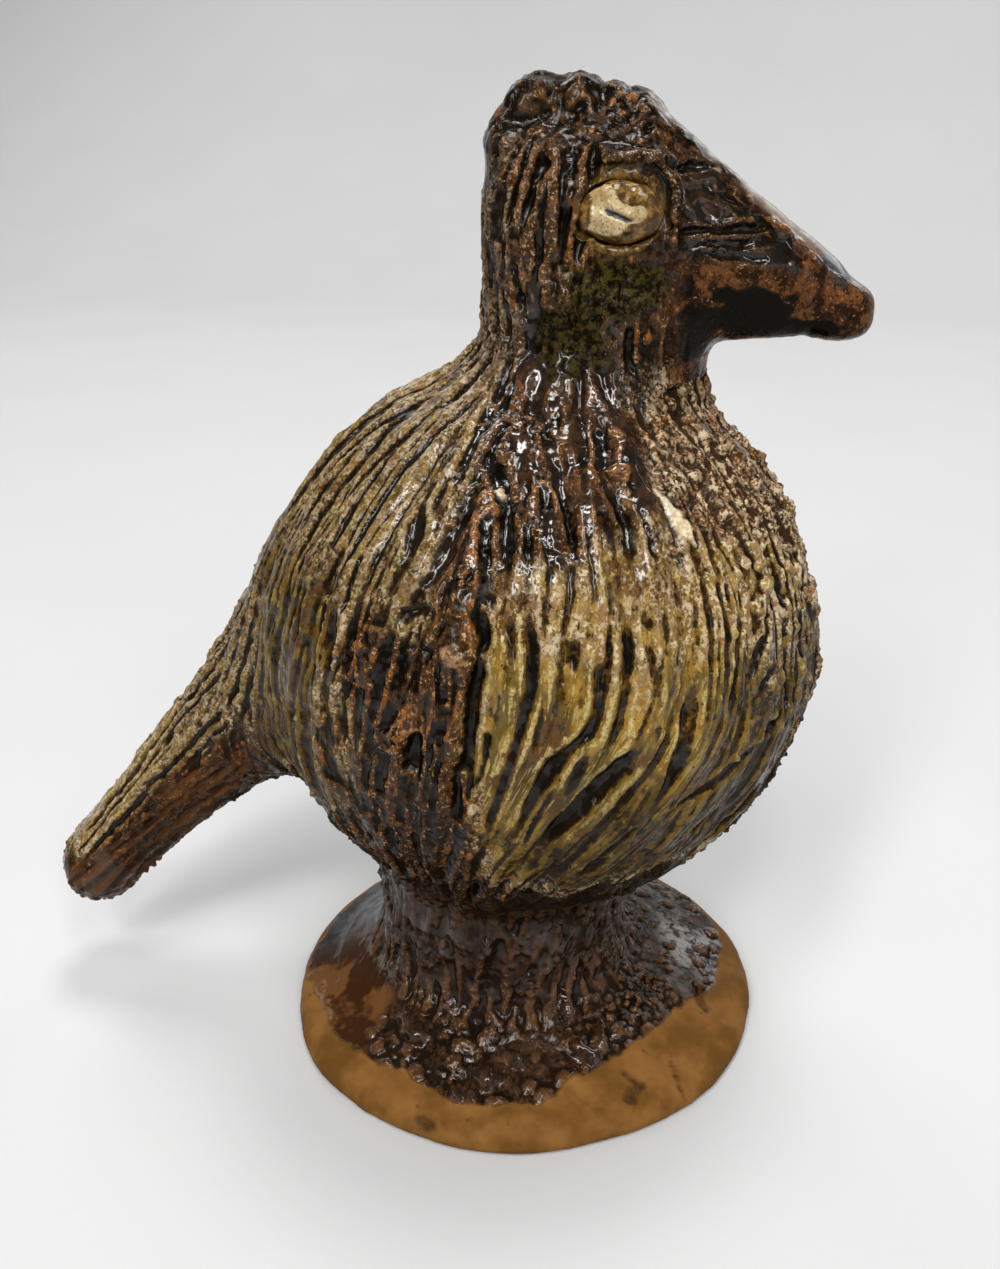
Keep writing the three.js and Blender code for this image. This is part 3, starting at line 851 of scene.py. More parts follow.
def head_pulls(rng):
    """Short wavy strokes down the back and sides of the head on to the neck, and round the throat."""
    tiers = (
        # top, bottom, pulls, how far the ends stray
        (107, 98, 11, 2.4),
        (102, 89, 13, 3.4),
        (94, 81, 13, 2.6),
    )
    paths = []
    for high, low, count, stray in tiers:
        for turn in rng.permutation(np.linspace(82, 278, count)):
            top, end = high + rng.normal(0, stray), low + rng.normal(0, stray)
            paths.append(downward(turn + rng.normal(0, 7), min(107, top), min(top - 3, end), rng, 1.8))
    for turn in np.linspace(0, 342, 18):
        turn, top, end = turn + rng.normal(0, 4), 89 + rng.normal(0, 1.5), 77 + rng.normal(0, 2)
        paths.append(downward(turn, top, end, rng, 0.9))
    pulls = []
    for path in traced(paths):
        teeth, width = 1 + int(rng.integers(2)), rng.uniform(1.0, 2.2)
        pulls.append(pull(path, teeth, 2.3, width, rng.uniform(0.5, 1.0), power=3, blunt=3))
    return pulls


def stem_pulls(rng):
    """Broken strokes down the stem and out over the foot."""
    tiers = (
        # top, bottom, pulls
        (25, 15, 20),
        (19, 8, 22),
        (12, 7, 16),
    )
    paths = []
    for high, low, count in tiers:
        for turn in rng.permutation(np.arange(count) * 360 / count):
            top, end = high + rng.normal(0, 1.5), max(7, low + rng.normal(0, 1.5))
            paths.append(downward(turn + rng.normal(0, 4), min(26, top), min(top - 3, end), rng, 1.2))
    return [pull(path, 1 + int(rng.integers(2)), 2.2, rng.uniform(1.2, 2.2), 0.6) for path in traced(paths)]


def tail_pulls(rng):
    """Strokes along the tail, all round it."""
    pulls = []
    for turn in rng.permutation(np.arange(TAIL_PULL_COUNT) * 2 * math.pi / TAIL_PULL_COUNT):
        path = []
        for t in np.linspace(rng.uniform(0.05, 0.4), rng.uniform(0.88, 1.0), 30):
            ahead = tail_at(min(1, t) + 0.02) - tail_at(min(1, t))
            ahead = ahead / np.linalg.norm(ahead)
            high, wide = tail_sizes(t)
            turn += rng.normal(0, 0.02)
            up = np.array([-ahead[2], 0, ahead[0]])
            path.append(tail_at(t) + up * high * math.cos(turn) + np.array([0, wide * math.sin(turn), 0]))
        pulls.append(pull(path, 2, 1.8, 1.4, 0.7))
    return pulls


# Grooves drawn after the photograph, in its pixels. Each: the line, then width and depth in millimetres.
DRAWN_WIDENING = 1.15
DRAWN_GROOVES = {
    "neck_left": ([(510, 372), (504, 395), (500, 415), (497, 432)], 1.7, 0.9),
    "collar_long": ([(485, 440), (492, 460), (500, 480), (505, 500), (507, 530), (507, 600)], 1.7, 0.7),
    "collar_second": (
        [(535, 400), (545, 425), (550, 450), (558, 480), (565, 500), (573, 525), (574, 575)],
        1.3, 0.8,
    ),
    "collar_dark": ([(540, 470), (547, 500), (546, 520), (550, 545), (552, 590)], 1.3, 0.8),
    "collar_curve": (
        [(583, 392), (594, 408), (601, 430), (605, 470), (613, 495), (627, 515), (633, 535), (630, 590)],
        1.6, 0.8,
    ),
    "collar_black": ([(607, 425), (613, 450), (616, 490)], 1.3, 0.8),
    "collar_pool": ([(628, 436), (633, 460), (640, 480), (647, 505), (650, 538)], 3.0, 0.8),
    "throat_bend": ([(625, 360), (635, 382), (641, 400), (655, 422)], 1.5, 0.8),
    "throat_right": ([(669, 375), (667, 400), (680, 420), (692, 445), (702, 462)], 1.5, 0.8),
    "shoulder_first": (
        [(676, 470), (690, 490), (704, 508), (716, 527), (727, 548), (740, 572), (748, 600)],
        1.3, 0.6,
    ),
    "shoulder_second": ([(700, 480), (722, 510), (745, 545), (760, 575), (770, 600)], 1.3, 0.6),
    "collar_nick": ([(515, 455), (518, 480), (519, 505)], 1.1, 0.7),
    "collar_short": ([(530, 505), (526, 530), (529, 560), (535, 585)], 1.4, 0.8),
    "flank_diagonal": (
        [(458, 512), (447, 540), (438, 562), (425, 588), (410, 608), (398, 628), (391, 655)],
        1.9, 1.0,
    ),
    "flank_second": ([(426, 488), (418, 515), (410, 542), (405, 570), (397, 592)], 1.8, 0.95),
    "flank_third": ([(492, 500), (487, 522), (483, 548), (483, 572), (489, 598), (495, 640)], 1.5, 0.9),
    "flank_hollow": ([(470, 520), (463, 542), (456, 562), (468, 580)], 1.6, 0.9),
    "flank_small": ([(428, 618), (428, 640), (424, 660), (417, 682)], 1.3, 0.8),
    "flank_tick": ([(413, 628), (412, 650)], 0.9, 0.7),
    "flank_notch": ([(445, 598), (446, 632)], 1.1, 0.7),
    "flank_slip": ([(463, 618), (467, 642)], 0.9, 0.7),
    "flank_lower": ([(437, 652), (434, 680), (437, 702), (446, 722)], 1.2, 0.8),
    "flank_far": ([(356, 600), (349, 622), (342, 645)], 1.4, 0.8),
    "flank_wide": ([(408, 712), (409, 745), (407, 785), (410, 822)], 1.9, 0.9),
    "flank_pit": ([(350, 722), (352, 756)], 1.8, 0.9),
    "flank_curl": ([(370, 678), (378, 700), (381, 722)], 1.3, 0.7),
    "flank_last": ([(426, 776), (422, 800), (420, 822)], 1.2, 0.7),
    "back_ridge": ([(328, 680), (337, 720), (345, 755), (356, 790), (368, 822)], 1.5, 0.6),
    "back_second": ([(318, 715), (325, 750), (336, 790), (352, 830)], 1.5, 0.6),
    "long_black": (
        [(478, 595), (482, 620), (484, 642), (479, 670), (471, 700), (467, 740), (465, 775), (457, 812),
         (451, 838)],
        1.8, 1.0,
    ),
    "breast_first": ([(508, 600), (511, 640), (514, 670), (512, 692)], 1.3, 0.7),
    "breast_second": (
        [(531, 600), (528, 625), (533, 655), (533, 685), (526, 712), (517, 745), (503, 785), (492, 820),
         (485, 850)],
        1.5, 0.8,
    ),
    "breast_wide": ([(572, 618), (575, 650), (573, 680), (569, 702)], 1.9, 0.8),
    "breast_long": (
        [(598, 635), (603, 680), (601, 710), (591, 737), (574, 752), (558, 768), (543, 788), (530, 808),
         (520, 832), (511, 852)],
        1.5, 0.9,
    ),
    "breast_branch": ([(600, 735), (586, 760), (576, 785), (562, 806), (546, 820)], 1.4, 0.7),
    "breast_pale": ([(628, 600), (631, 640), (630, 680), (624, 720), (612, 755), (600, 780)], 1.4, 0.7),
    "breast_diagonal": (
        [(641, 735), (633, 758), (620, 777), (600, 796), (580, 815), (560, 834), (540, 850), (530, 860)],
        1.9, 1.4,
    ),
    "breast_across": (
        [(697, 675), (697, 700), (694, 722), (689, 745), (680, 765), (670, 785), (657, 805), (642, 824)],
        1.8, 1.0,
    ),
    "breast_hole": ([(716, 688), (718, 706), (721, 720)], 1.6, 0.9),
    "breast_mark": ([(722, 590), (724, 615), (728, 640)], 1.3, 0.7),
    "breast_right": ([(743, 590), (745, 615), (744, 645), (739, 680), (731, 715), (722, 745)], 1.4, 0.8),
    "side_first": ([(768, 590), (770, 620), (765, 650), (757, 682), (748, 712)], 1.3, 0.7),
    "side_second": ([(779, 640), (776, 665), (768, 687), (757, 705), (745, 722)], 1.2, 0.7),
    "side_sweep": (
        [(793, 690), (786, 711), (775, 731), (760, 746), (745, 760), (730, 776), (712, 792), (692, 806),
         (665, 820), (640, 834)],
        1.5, 0.8,
    ),
    "side_low": ([(770, 770), (755, 792), (736, 815), (715, 836), (692, 855), (670, 870)], 1.3, 0.6),
    "side_last": ([(745, 780), (726, 805), (702, 830), (676, 850), (650, 863)], 1.3, 0.6),
}


def drawn_places(grooves, spacing):
    """The lines of drawn grooves, laid on the clay where the camera sees them."""
    lines = [rounded_path(line, spacing) for line, _, _ in grooves.values()]
    return split_like(seen(np.concatenate(lines)), lines)


def drawn_pulls():
    return [
        pull(place, width=width * DRAWN_WIDENING, depth=depth, lip=0.35, power=3, blunt=4)
        for place, (_, width, depth) in zip(drawn_places(DRAWN_GROOVES, 9), DRAWN_GROOVES.values())
    ]


# Cuts in the comb, in the side of the beak and at its joint, drawn in the same way and mirrored.
BEAK_CUTS = {
    "crest_cut": ([(550, 102), (545, 112), (548, 122)], 2.2, 0.7),
    "crest_second": ([(568, 110), (576, 116), (574, 126)], 1.6, 0.6),
    "crest_third": ([(590, 98), (598, 106), (594, 116)], 2.0, 0.6),
    "crest_fourth": ([(618, 104), (610, 112), (612, 122)], 1.5, 0.6),
    "crest_fifth": ([(640, 106), (634, 114), (626, 124)], 1.7, 0.6),
    "crest_last": ([(655, 118), (650, 126), (641, 140)], 1.2, 0.5),
    "beak_top_cut": ([(676, 169), (698, 165), (722, 167)], 1.0, 0.7),
    "beak_hollow": ([(690, 203), (706, 214), (724, 220), (742, 226)], 2.3, 0.8),
    "beak_high_cut": ([(678, 233), (700, 229), (725, 230), (752, 228), (780, 224)], 1.1, 0.7),
    "beak_second_cut": ([(690, 245), (712, 243), (738, 245), (760, 241), (784, 243)], 1.0, 0.7),
    "beak_third_cut": ([(704, 253), (728, 254), (752, 257), (776, 262)], 1.0, 0.6),
    "beak_scratch": ([(712, 190), (736, 203), (758, 216)], 0.9, 0.5),
    "beak_nick": ([(745, 208), (762, 222), (779, 233)], 0.8, 0.4),
    "joint_cut": ([(683, 178), (680, 198), (677, 220), (674, 242)], 0.8, 0.5),
}


def beak_pulls():
    places = drawn_places(BEAK_CUTS, 6)
    pulls = []
    for side in (1, -1):
        for place, (_, width, depth) in zip(places, BEAK_CUTS.values()):
            mirrored = place * (1, side, 1)
            pulls.append(pull(mirrored, width=width, depth=depth, lip=0.45, rough=0.8, blunt=1.8))
    return pulls


# Marks drawn in the same way. Each: its points, in the photograph's pixels, and its half width at each.

# On the right side, a flake and a dot of pale slip, and a lump of clay.
FLAKE = (((659, 487), (668, 500), (676, 513), (686, 530), (697, 544)), (0.2, 0.45, 0.75, 0.75, 0.2))
DOT = (((500, 488), (502, 493)), (0.55, 0.5))
LUMP = (((447, 655), (456, 663)), (0.7, 0.8))
# Sharp ridges of clay on both sides: over and before the eye, and where the beak's dark face ends.
BROW_LINE = (
    ((606, 160), (622, 155), (642, 153), (662, 163), (675, 180), (677, 205), (674, 240)),
    (0.1, 0.35, 0.45, 0.4, 0.35, 0.35, 0.2),
)
BEAK_LINE = (((768, 221), (786, 234), (804, 252), (822, 270), (842, 284)), (0.2, 0.45, 0.5, 0.5, 0.3))
# Burnt places and nicks on the bare rim.
BURNS = (
    (((630, 1078), (637, 1084), (630, 1098)), (0.7, 0.8, 0.7)),
    (((420, 1122), (429, 1126)), (0.7, 0.7)),
    (((672, 1061), (678, 1080), (686, 1101)), (0.15, 0.25, 0.2)),
    (((330, 985), (346, 996)), (1.0, 1.2)),
    (((700, 1000), (706, 1010)), (0.6, 0.5)),
)
# Round drops of glaze that stand on the foot, on both sides.
DROPS = (
    (((408, 1018), (418, 1034)), (0.9, 1.1)),
    (((480, 1072), (487, 1080)), (1.0, 1.0)),
    (((564, 996), (567, 1014)), (0.6, 0.8)),
    (((598, 1026), (601, 1046)), (0.6, 0.8)),
    (((578, 1050), (592, 1056)), (0.7, 0.8)),
    (((471, 1094), (473, 1104)), (0.5, 0.3)),
    (((453, 1090), (454, 1098)), (0.45, 0.4)),
    (((518, 1054), (519, 1062)), (0.6, 0.5)),
    (((572, 1074), (576, 1080)), (0.4, 0.4)),
    (((444, 948), (446, 958)), (0.5, 0.5)),
    (((488, 942), (490, 950)), (0.4, 0.4)),
)
# Where the glaze stands in smooth pools on both sides: collar, throat and head.
POOLS = (
    (((530, 372), (540, 386)), (1.7, 1.4)),
    (((519, 438), (523, 470)), (1.0, 1.0)),
    (((574, 420), (578, 445)), (1.0, 1.1)),
    (((636, 446), (643, 470), (649, 505)), (1.1, 1.3, 1.2)),
    (((553, 515), (556, 560)), (0.8, 0.8)),
    (((640, 398), (646, 412)), (0.9, 1.0)),
    (((420, 560), (408, 590)), (0.7, 0.7)),
    (((700, 205), (716, 214)), (1.1, 1.0)),
    (((694, 178), (712, 176)), (0.6, 0.7)),
)


def mark(points, pixels, widths, soft):
    """How far each point lies inside a drawn mark, from 0 outside to 1."""
    inside = np.zeros(len(points))
    torn = 0.3 * noise(points, 0.9, 71) * min(1, soft / 0.1)
    for centre, width in zip(seen(pixels), widths):
        away = np.linalg.norm(points - centre, axis=1) + torn
        inside = np.maximum(inside, smoothstep(width + soft, width - soft, away))
    return inside


def between_marks(pixels, widths, parts=4):
    """A drawn mark with more points along it."""
    place = np.linspace(0, len(pixels) - 1, parts * (len(pixels) - 1) + 1)
    x, y = np.array(pixels, float).T
    at = np.arange(len(pixels))
    return np.stack([np.interp(place, at, x), np.interp(place, at, y)], 1), np.interp(place, at, widths)


def most(*masks):
    """The highest of some masks at each point."""
    return np.maximum.reduce(masks)


def marked(points, marks, soft):
    """How far each point lies inside any of some drawn marks."""
    return most(*[mark(points, *between_marks(*each), soft) for each in marks])


# Colour zones, as masks on the skin.

# How far out the glaze runs on the foot, at some turns.
GLAZE_EDGE = (
    (-180, 28.6), (-172, 29.2), (-161, 27.4), (-140, 27.0), (-121, 25.2), (-104, 26.2), (-82, 25.2),
    (-73, 23.2), (-60, 22.0), (-44, 21.6), (-30, 21.6), (-19, 23.2), (-8, 25.6), (4, 26.3), (21, 28.3),
    (45, 28.0), (80, 25.6), (110, 26.5), (140, 27.6), (180, 28.6),
)
# Where zones of glaze lie: turns from the beak in degrees, to the left of it positive, and heights.
BREAST_TURNS = (-96, 10)
BACK_TURNS = (126, 233)
HIGH_BACK_TURNS = (112, 250)
FAR_SIDE_TURNS = (40, 92)
FLANK_TURNS = (-135, -88)
SHOULDER_TURNS, SHOULDER_HEIGHTS = (-50, 50), (58, 84)
CRUST_TURNS, CRUST_HEIGHTS = (-88, -30), (63, 71)
NODULE_TURNS, NODULE_HEIGHTS = (-42, 34), (48, 86)
WET_COLLAR_TURNS, WET_COLLAR_HEIGHTS = (48, 128), (68, 91)
WET_FLANK_TURNS = (75, 128)
POOL_HEIGHTS = ((67, 88), (8, 24))
FILM_TURN = 203
SLATE_TURN = 164
# Spots, the same on both sides: middle and radii.
CHEEK_SPOTS = (((8.6, 9.3, 93.4), (5.2, 5, 3.0)), ((5.0, 10.3, 88.2), (3.2, 5, 3.8)))
STEEL_SPOT = ((31, 2.2, 95.2), (2.6, 1.9, 2.6))
THROAT_SPOT = ((12, 6, 85), (5, 8, 4))
SOCKET_SPOT = (np.abs(EYE), (4.7, 4, 3.8))
# Black blots on the beak's sides, in the same way.
BEAK_BLOTS = (
    ((23.2, 5.0, 90.4), (3.7, 4, 2.4)),
    ((29.0, 4, 88.8), (4.4, 3, 1.4)),
    ((17, 6.5, 89), (2.4, 4, 3.0)),
    ((19.5, 6.5, 92.4), (1.2, 3, 0.8)),
    ((26.5, 4.6, 92.0), (0.8, 3, 0.5)),
    ((15.5, 7, 93.2), (1.0, 3, 1.2)),
)


# The zones that only the shape follows. The glaze's colour and shine follow all the others.
SHAPE_ZONES = ("smooth", "nodules", "crest", "slate", "sharp", "drop")


def zone_masks(points):
    """Where the glaze pooled olive, where the clay is bare, where shade is painted low on the globe, and so
    on, each from 0 to 1.
    """
    x, y, z = points.T
    turn = np.degrees(np.arctan2(y, x - GLOBE[0]))
    ragged = fractal(points, 8, 11) + 0.35 * fractal(points, 2.2, 5)
    frayed = fractal(points, 2.4, 12)
    fingers = fractal(points * (1, 1, 0.3), 3.2, 17)

    def between(value, low, high, soft, stray):
        shifted = value + stray * ragged
        return smoothstep(low - soft, low + soft, shifted) * smoothstep(high + soft, high - soft, shifted)

    breast_edge = np.interp(z, (34, 44, 54, 66), (-46, -26, -10, -2))
    breast = between(turn + 3 * fingers, *BREAST_TURNS, 3, 4)
    breast = breast * smoothstep(8, -8, turn - breast_edge + 9 * ragged)
    top_edge = 71 - 0.06 * np.maximum(0, turn + 62) + 4.5 * fingers
    low_edge = 34 + 0.06 * np.maximum(0, -62 - turn)
    breast = breast * smoothstep(low_edge - 2, low_edge + 3, z + 2.5 * ragged)
    breast = breast * smoothstep(2.5, -2.5, z - top_edge)
    round_back = (turn + 360) % 360
    fingered = z + 4 * fingers
    back = between(round_back, *BACK_TURNS, 5, 9) * smoothstep(38, 43, fingered)
    high_back = between(round_back, *HIGH_BACK_TURNS, 6, 8) * smoothstep(64, 69, z + 3 * fingers)
    high_back = high_back * (1 - 0.6 * smoothstep(88, 94, z))
    far_side = between(turn, *FAR_SIDE_TURNS, 4, 9) * smoothstep(37, 41, fingered)
    far_side = far_side * smoothstep(70, 66, fingered)
    tail_top_x = GLOBE[0] - GLOBE_R[0]
    at_body = smoothstep(tail_top_x - 3, tail_top_x + 2, x)
    olive = most(breast, back, high_back, far_side) * at_body
    tail_lit = smoothstep(tail_top_x + 4, tail_top_x - 1, x)
    tail_line = [tail_at(t) for t in np.linspace(0, 1, 8)]
    over_tail = z - np.interp(-x, [-at[0] for at in tail_line], [at[2] for at in tail_line]) + 2 * ragged
    olive = np.maximum(olive, 0.8 * tail_lit * smoothstep(2, 5, over_tail))
    olive = olive * smoothstep(86, 82, z + 2 * ragged)

    r = np.hypot(x, y)
    foot_turn = np.degrees(np.arctan2(y, x))
    edge = np.interp(foot_turn, *zip(*GLAZE_EDGE)) + 0.7 * frayed
    bare = smoothstep(edge - 0.25, edge + 0.25, r) * smoothstep(9, 7.5, z)
    bare = np.maximum(bare, smoothstep(0.6, 0.2, z))
    foot_top = smoothstep(17.5, 20.5, r) * smoothstep(12, 9, z) * (x > tail_top_x)
    off_film, off_slate = (np.abs((foot_turn + 360) % 360 - middle) for middle in (FILM_TURN, SLATE_TURN))
    thin = smoothstep(26, 16, off_film + 8 * ragged) * smoothstep(17, 20, r) * smoothstep(9, 7.5, z)
    thin = thin * (1 - bare)
    slate = smoothstep(24, 19, off_slate + 3 * ragged) * foot_top * (1 - bare)

    def spot(centre, radii, soft=0.35, stray=0.35):
        """A ragged spot, the same on both sides of the bird."""
        mirrored = np.stack([x, np.abs(y), z], 1)
        away = np.linalg.norm((mirrored - centre) / np.array(radii), axis=1)
        return smoothstep(1 + soft, 1 - soft, away + stray * (0.6 * ragged + 0.7 * frayed))

    cheek = most(*[spot(*place) for place in CHEEK_SPOTS])
    t = (x - FACE_X) / (beak_high[0] - FACE_X)
    at_beak = smoothstep(FACE_X - 0.5, FACE_X + 2.5, x) * (z > 84)
    under_edge = smoothstep(0.5, -0.5, z - beak_edge(t) + 0.5 * frayed)
    beak_side = at_beak * under_edge
    beak_tip = at_beak * smoothstep(0.55, 0.68, t + 0.06 * frayed)
    beak_top = at_beak * smoothstep(3.0, 2.2, np.abs(y)) * smoothstep(0.25, 0.4, t)
    beak_top = beak_top * smoothstep(-2.5, -1.5, z - 92 + (t - 0.8) * 13)
    beak_dark = at_beak * (1 - under_edge) * (1 - beak_tip) * smoothstep(2.6, 3.8, np.abs(y) + 0.6 * frayed)
    black = most(*[spot(*blot, 0.08, 0.5) for blot in BEAK_BLOTS]) * at_beak
    steel = spot(*STEEL_SPOT, 0.25, 0.25) * at_beak
    socket = spot(*SOCKET_SPOT, 0.25, 0.3)

    # Painted shade: darker low on the globe, reaching higher up on its right side and less on the flank.
    shade_low_on_globe = smoothstep(60, 40, z - 16 * smoothstep(-60, -30, turn) + 4 * ragged)
    shade_low_on_globe = shade_low_on_globe * smoothstep(10, 16, z)
    shade_low_on_globe = shade_low_on_globe * (1 - 0.7 * between(turn, *FLANK_TURNS, 6, 4) * smoothstep(30, 34, z))
    stem = smoothstep(32, 27, z) * smoothstep(21, 18, np.hypot(x - STEM_X, y)) + foot_top
    rough_crest = smoothstep(103, 107, z + ragged) * smoothstep(13, 9, x)
    # How dark each place is: painted shade low on the globe, dark glaze on the beak's upper faces, and
    # darker at the throat, back, crest, stem and under the tail.
    dark_glaze_and_shade = most(
        0.9 * shade_low_on_globe * at_body,
        0.2 * np.clip(stem, 0, 1),
        0.8 * beak_dark,
        0.5 * spot(*THROAT_SPOT),
        0.65 * np.maximum(back, high_back),
        0.35 * rough_crest,
        0.8 * tail_lit * smoothstep(1, -3, over_tail),
    )
    shoulder = between(turn, *SHOULDER_TURNS, 5, 9) * between(z, *SHOULDER_HEIGHTS, 5, 5)
    crust = between(turn, *CRUST_TURNS, 6, 8) * between(z, *CRUST_HEIGHTS, 2.5, 3.5)
    nape = smoothstep(20, 45, np.abs(turn)) * smoothstep(-1, 5, FACE_X - 10 - x) * smoothstep(88, 92, z)
    tail_dust = tail_lit * smoothstep(2, 6, over_tail)
    dust = most(shoulder, 0.9 * crust, 0.5 * high_back, 0.15 * nape, 0.6 * tail_dust)
    dust = dust * (1 - bare) * (1 - 0.8 * rough_crest)
    under_tail = tail_lit * smoothstep(3, 0, over_tail)
    nodules = between(turn, *NODULE_TURNS, 6, 6) * between(z, *NODULE_HEIGHTS, 4, 3)
    smooth = most(
        bare * 0.85, foot_top * 0.5, cheek * 0.45, beak_side * 0.85, beak_tip * 0.8, beak_top * 0.9,
        slate, thin * 0.8,
    )
    cream = marked(points, (FLAKE, DOT), 0.1)
    lump = marked(points, (LUMP,), 0.5)
    burnt = marked(points, BURNS, 0.35) * bare
    right = np.stack([x, -np.abs(y), z], 1)
    sharp = marked(right, (BROW_LINE, BEAK_LINE), 0.35)
    drop = marked(right, DROPS, 0.8) * (1 - 0.5 * bare)
    banded = sum(between(z, *heights, 2, 1) for heights in POOL_HEIGHTS)
    patches = smoothstep(0.2, 0.5, noise(points, 4.5, 35)) * (1 - olive) * banded
    pool = most(marked(right, POOLS, 0.6), 0.6 * patches, drop) * (1 - dust) * (1 - bare)
    side = np.abs(turn)
    wet = most(
        between(side, *WET_COLLAR_TURNS, 5, 8) * between(z, *WET_COLLAR_HEIGHTS, 3, 2),
        0.3 * between(side, *WET_FLANK_TURNS, 5, 8) * (1 - olive),
        0.65 * beak_dark,
        foot_top * smoothstep(-0.3, 0.4, noise(points, 7, 36)),
        0.3 * np.clip(stem, 0, 1),
        0.4 * smoothstep(88, 92, z),
        0.4 * olive,
    )
    wet = wet * (1 - 0.8 * dust) * (1 - cheek) * (1 - beak_side)
    wet = most(wet, sharp, pool) * (1 - bare)
    wet = wet * (1 - 0.7 * slate) * (1 - 0.7 * thin) * (1 - 0.55 * rough_crest)
    return {
        "olive": olive,
        "dark_glaze_and_shade": dark_glaze_and_shade,
        "dust": dust,
        "pool": pool,
        "wet": wet,
        "stem": np.clip(stem, 0, 1) * (1 - bare),
        "foot_top": foot_top * (1 - bare),
        "under_tail": under_tail,
        "green": cheek,
        "socket": socket,
        "copper": np.maximum(beak_tip, beak_side),
        "grey": beak_top * (1 - 0.6 * beak_tip),
        "black": black,
        "steel": np.maximum(steel, 0.7 * slate),
        "thin": thin,
        "bare": bare,
        "burnt": burnt,
        "lump": lump,
        "cream": cream,
        "smooth": smooth,
        "nodules": nodules,
        "crest": rough_crest,
        "slate": slate,
        "sharp": sharp,
        "drop": drop,
    }


# Build the skin.

SEED = 20
# How far some zones stand out or lie in, in millimetres.
RIDGE_HEIGHT = 0.75
DROP_HEIGHT = 0.75
POOL_HEIGHT = 0.3
SLIP_HEIGHT = 0.1
LUMP_HEIGHT = 0.5
BURN_DEPTH = 0.25
CRUMB_LIMIT = 0.9
UNEVENNESS = 0.3
STROKE_SHARE = 0.6
# How wide around and over what height a point's surroundings are looked at, for the glaze's colours.
FINE_RELIEF = (1.25, 0.12)
BROAD_RELIEF = (2.6, 0.4)
GROUND = 0.02


def neighbours(quads):
    """Both ways along every side of every quad."""
    a, b = quads.ravel(), np.roll(quads, -1, axis=1).ravel()
    return np.concatenate([a, b]), np.concatenate([b, a])


def averaged(values, links, rounds):
    """Values blurred over the mesh."""
    here, there = links
    hits = np.bincount(here, minlength=len(values))
    for _ in range(rounds):
        values = np.bincount(here, values[there], len(values)) / hits
    return values


def build_skin():
    vertices, quads = surface_nets(VOXEL)
    vertices = settle(vertices)
    vertices = relaxed(vertices, quads, 2)
    vertices, quads = subdivided(vertices, quads)
    vertices = relaxed(vertices, quads, 1)
    masks = zone_masks(vertices)
    raggedness = 1 - 0.75 * masks["olive"]
    skin = Skin(vertices, gradient(vertices, 0.3), raggedness)
    rng = np.random.default_rng(SEED)
    cut(skin, stem_pulls(rng) + tail_pulls(rng) + body_pulls(rng) + head_pulls(rng), rng)
    cut(skin, drawn_pulls() + beak_pulls() + scratch_pulls(rng), rng)
    return skin, quads, masks


def roughened(skin, masks, links):
    """The worked height over the smooth form: strokes, and torn clay on the ridges between them."""
    p = skin.points
    open_clay = np.clip(1 - skin.cut / 0.3, 0, 1)
    smooth = np.maximum(masks["smooth"], masks["cream"])
    glazed_over = masks["olive"]
    patchy = smoothstep(-0.4, 0.3, noise(p, 3.4, 19))
    crumbs = patchy * (0.45 * grains(p, 1.25, 21) + 0.35 * grains(p, 0.8, 22)) * (1 - 0.5 * (p[:, 2] > 90))
    nodules = masks["nodules"] * (0.6 * grains(p, 2.4, 27) + 0.35 * grains(p, 1.5, 28))
    crest = masks["crest"] * (0.25 * grains(p, 3.6, 31) + 0.4 * fractal(p, 2.2, 32, 2))
    lumpy = 0.7 * grains(p, 4.0, 29) + 0.2 * noise(p, 2, 37)
    blobs = masks["foot_top"] * smoothstep(-0.3, 0.3, noise(p, 6, 30)) * lumpy
    ribs = masks["stem"] * smoothstep(-0.6, 0.2, noise(p, 4, 38)) * grains(p * (1, 1, 0.3), 2.7, 33)
    in_front = smoothstep(4, -6, p[:, 0] - STEM_X - 12) * smoothstep(16, 4, p[:, 1])
    blobs = np.maximum(blobs * (0.12 + 0.88 * in_front), 0.6 * ribs)
    blobs = blobs * (1 - masks["thin"]) * (1 - masks["slate"])
    grain = 0.06 * noise(p, 0.7, 14)
    height = skin.depth * (1 - smooth)
    height = height + (1 - smooth) * ((1 - 0.6 * glazed_over) * open_clay * crumbs + grain + nodules)
    height = height + crest + blobs + RIDGE_HEIGHT * masks["sharp"]
    pooled = averaged(height, links, 3)
    height = height + (pooled - height) * np.maximum(0.55 * glazed_over, 0.3)
    flat = averaged(height, links, 16)
    still = np.maximum(0.9 * masks["pool"], masks["cream"])
    return np.minimum(height + (flat - height) * still, CRUMB_LIMIT)


def relief(height, links, spread, span):
    """How far a point lies below its surroundings, from -1 on a ridge to 1 in a groove."""
    rounds = max(1, round((spread / VOXEL) ** 2))
    return np.clip((averaged(height, links, rounds) - height) / span, -1, 1)


skin, quads, masks = build_skin()
links = neighbours(quads)
worked = roughened(skin, masks, links)
masks["wet"] = masks["wet"] * smoothstep(-0.5, 0.1, skin.normals[:, 2])
masks["fine"] = relief(worked, links, *FINE_RELIEF)
masks["broad"] = relief(worked, links, *BROAD_RELIEF)
uneven = UNEVENNESS * fractal(skin.points, 9, 3) + 0.14 * noise(skin.points, 3.1, 8)
bent = uneven * (1 - 0.6 * masks["smooth"]) - STROKE_SHARE * STROKE_DEPTH * broad_strokes(skin.points)
raised = worked + bent + SLIP_HEIGHT * masks["cream"] - BURN_DEPTH * masks["burnt"]
raised = raised + DROP_HEIGHT * masks["drop"] + POOL_HEIGHT * masks["pool"]
raised = raised + masks["lump"] * (LUMP_HEIGHT + 0.3 * noise(skin.points, 0.8, 34))
surface = skin.points + skin.normals * raised[:, None]
surface[:, 2] = np.maximum(surface[:, 2], GROUND)
surface_normals = vertex_normals(surface, quads)


# Part the skin along the joints of the clay pieces.

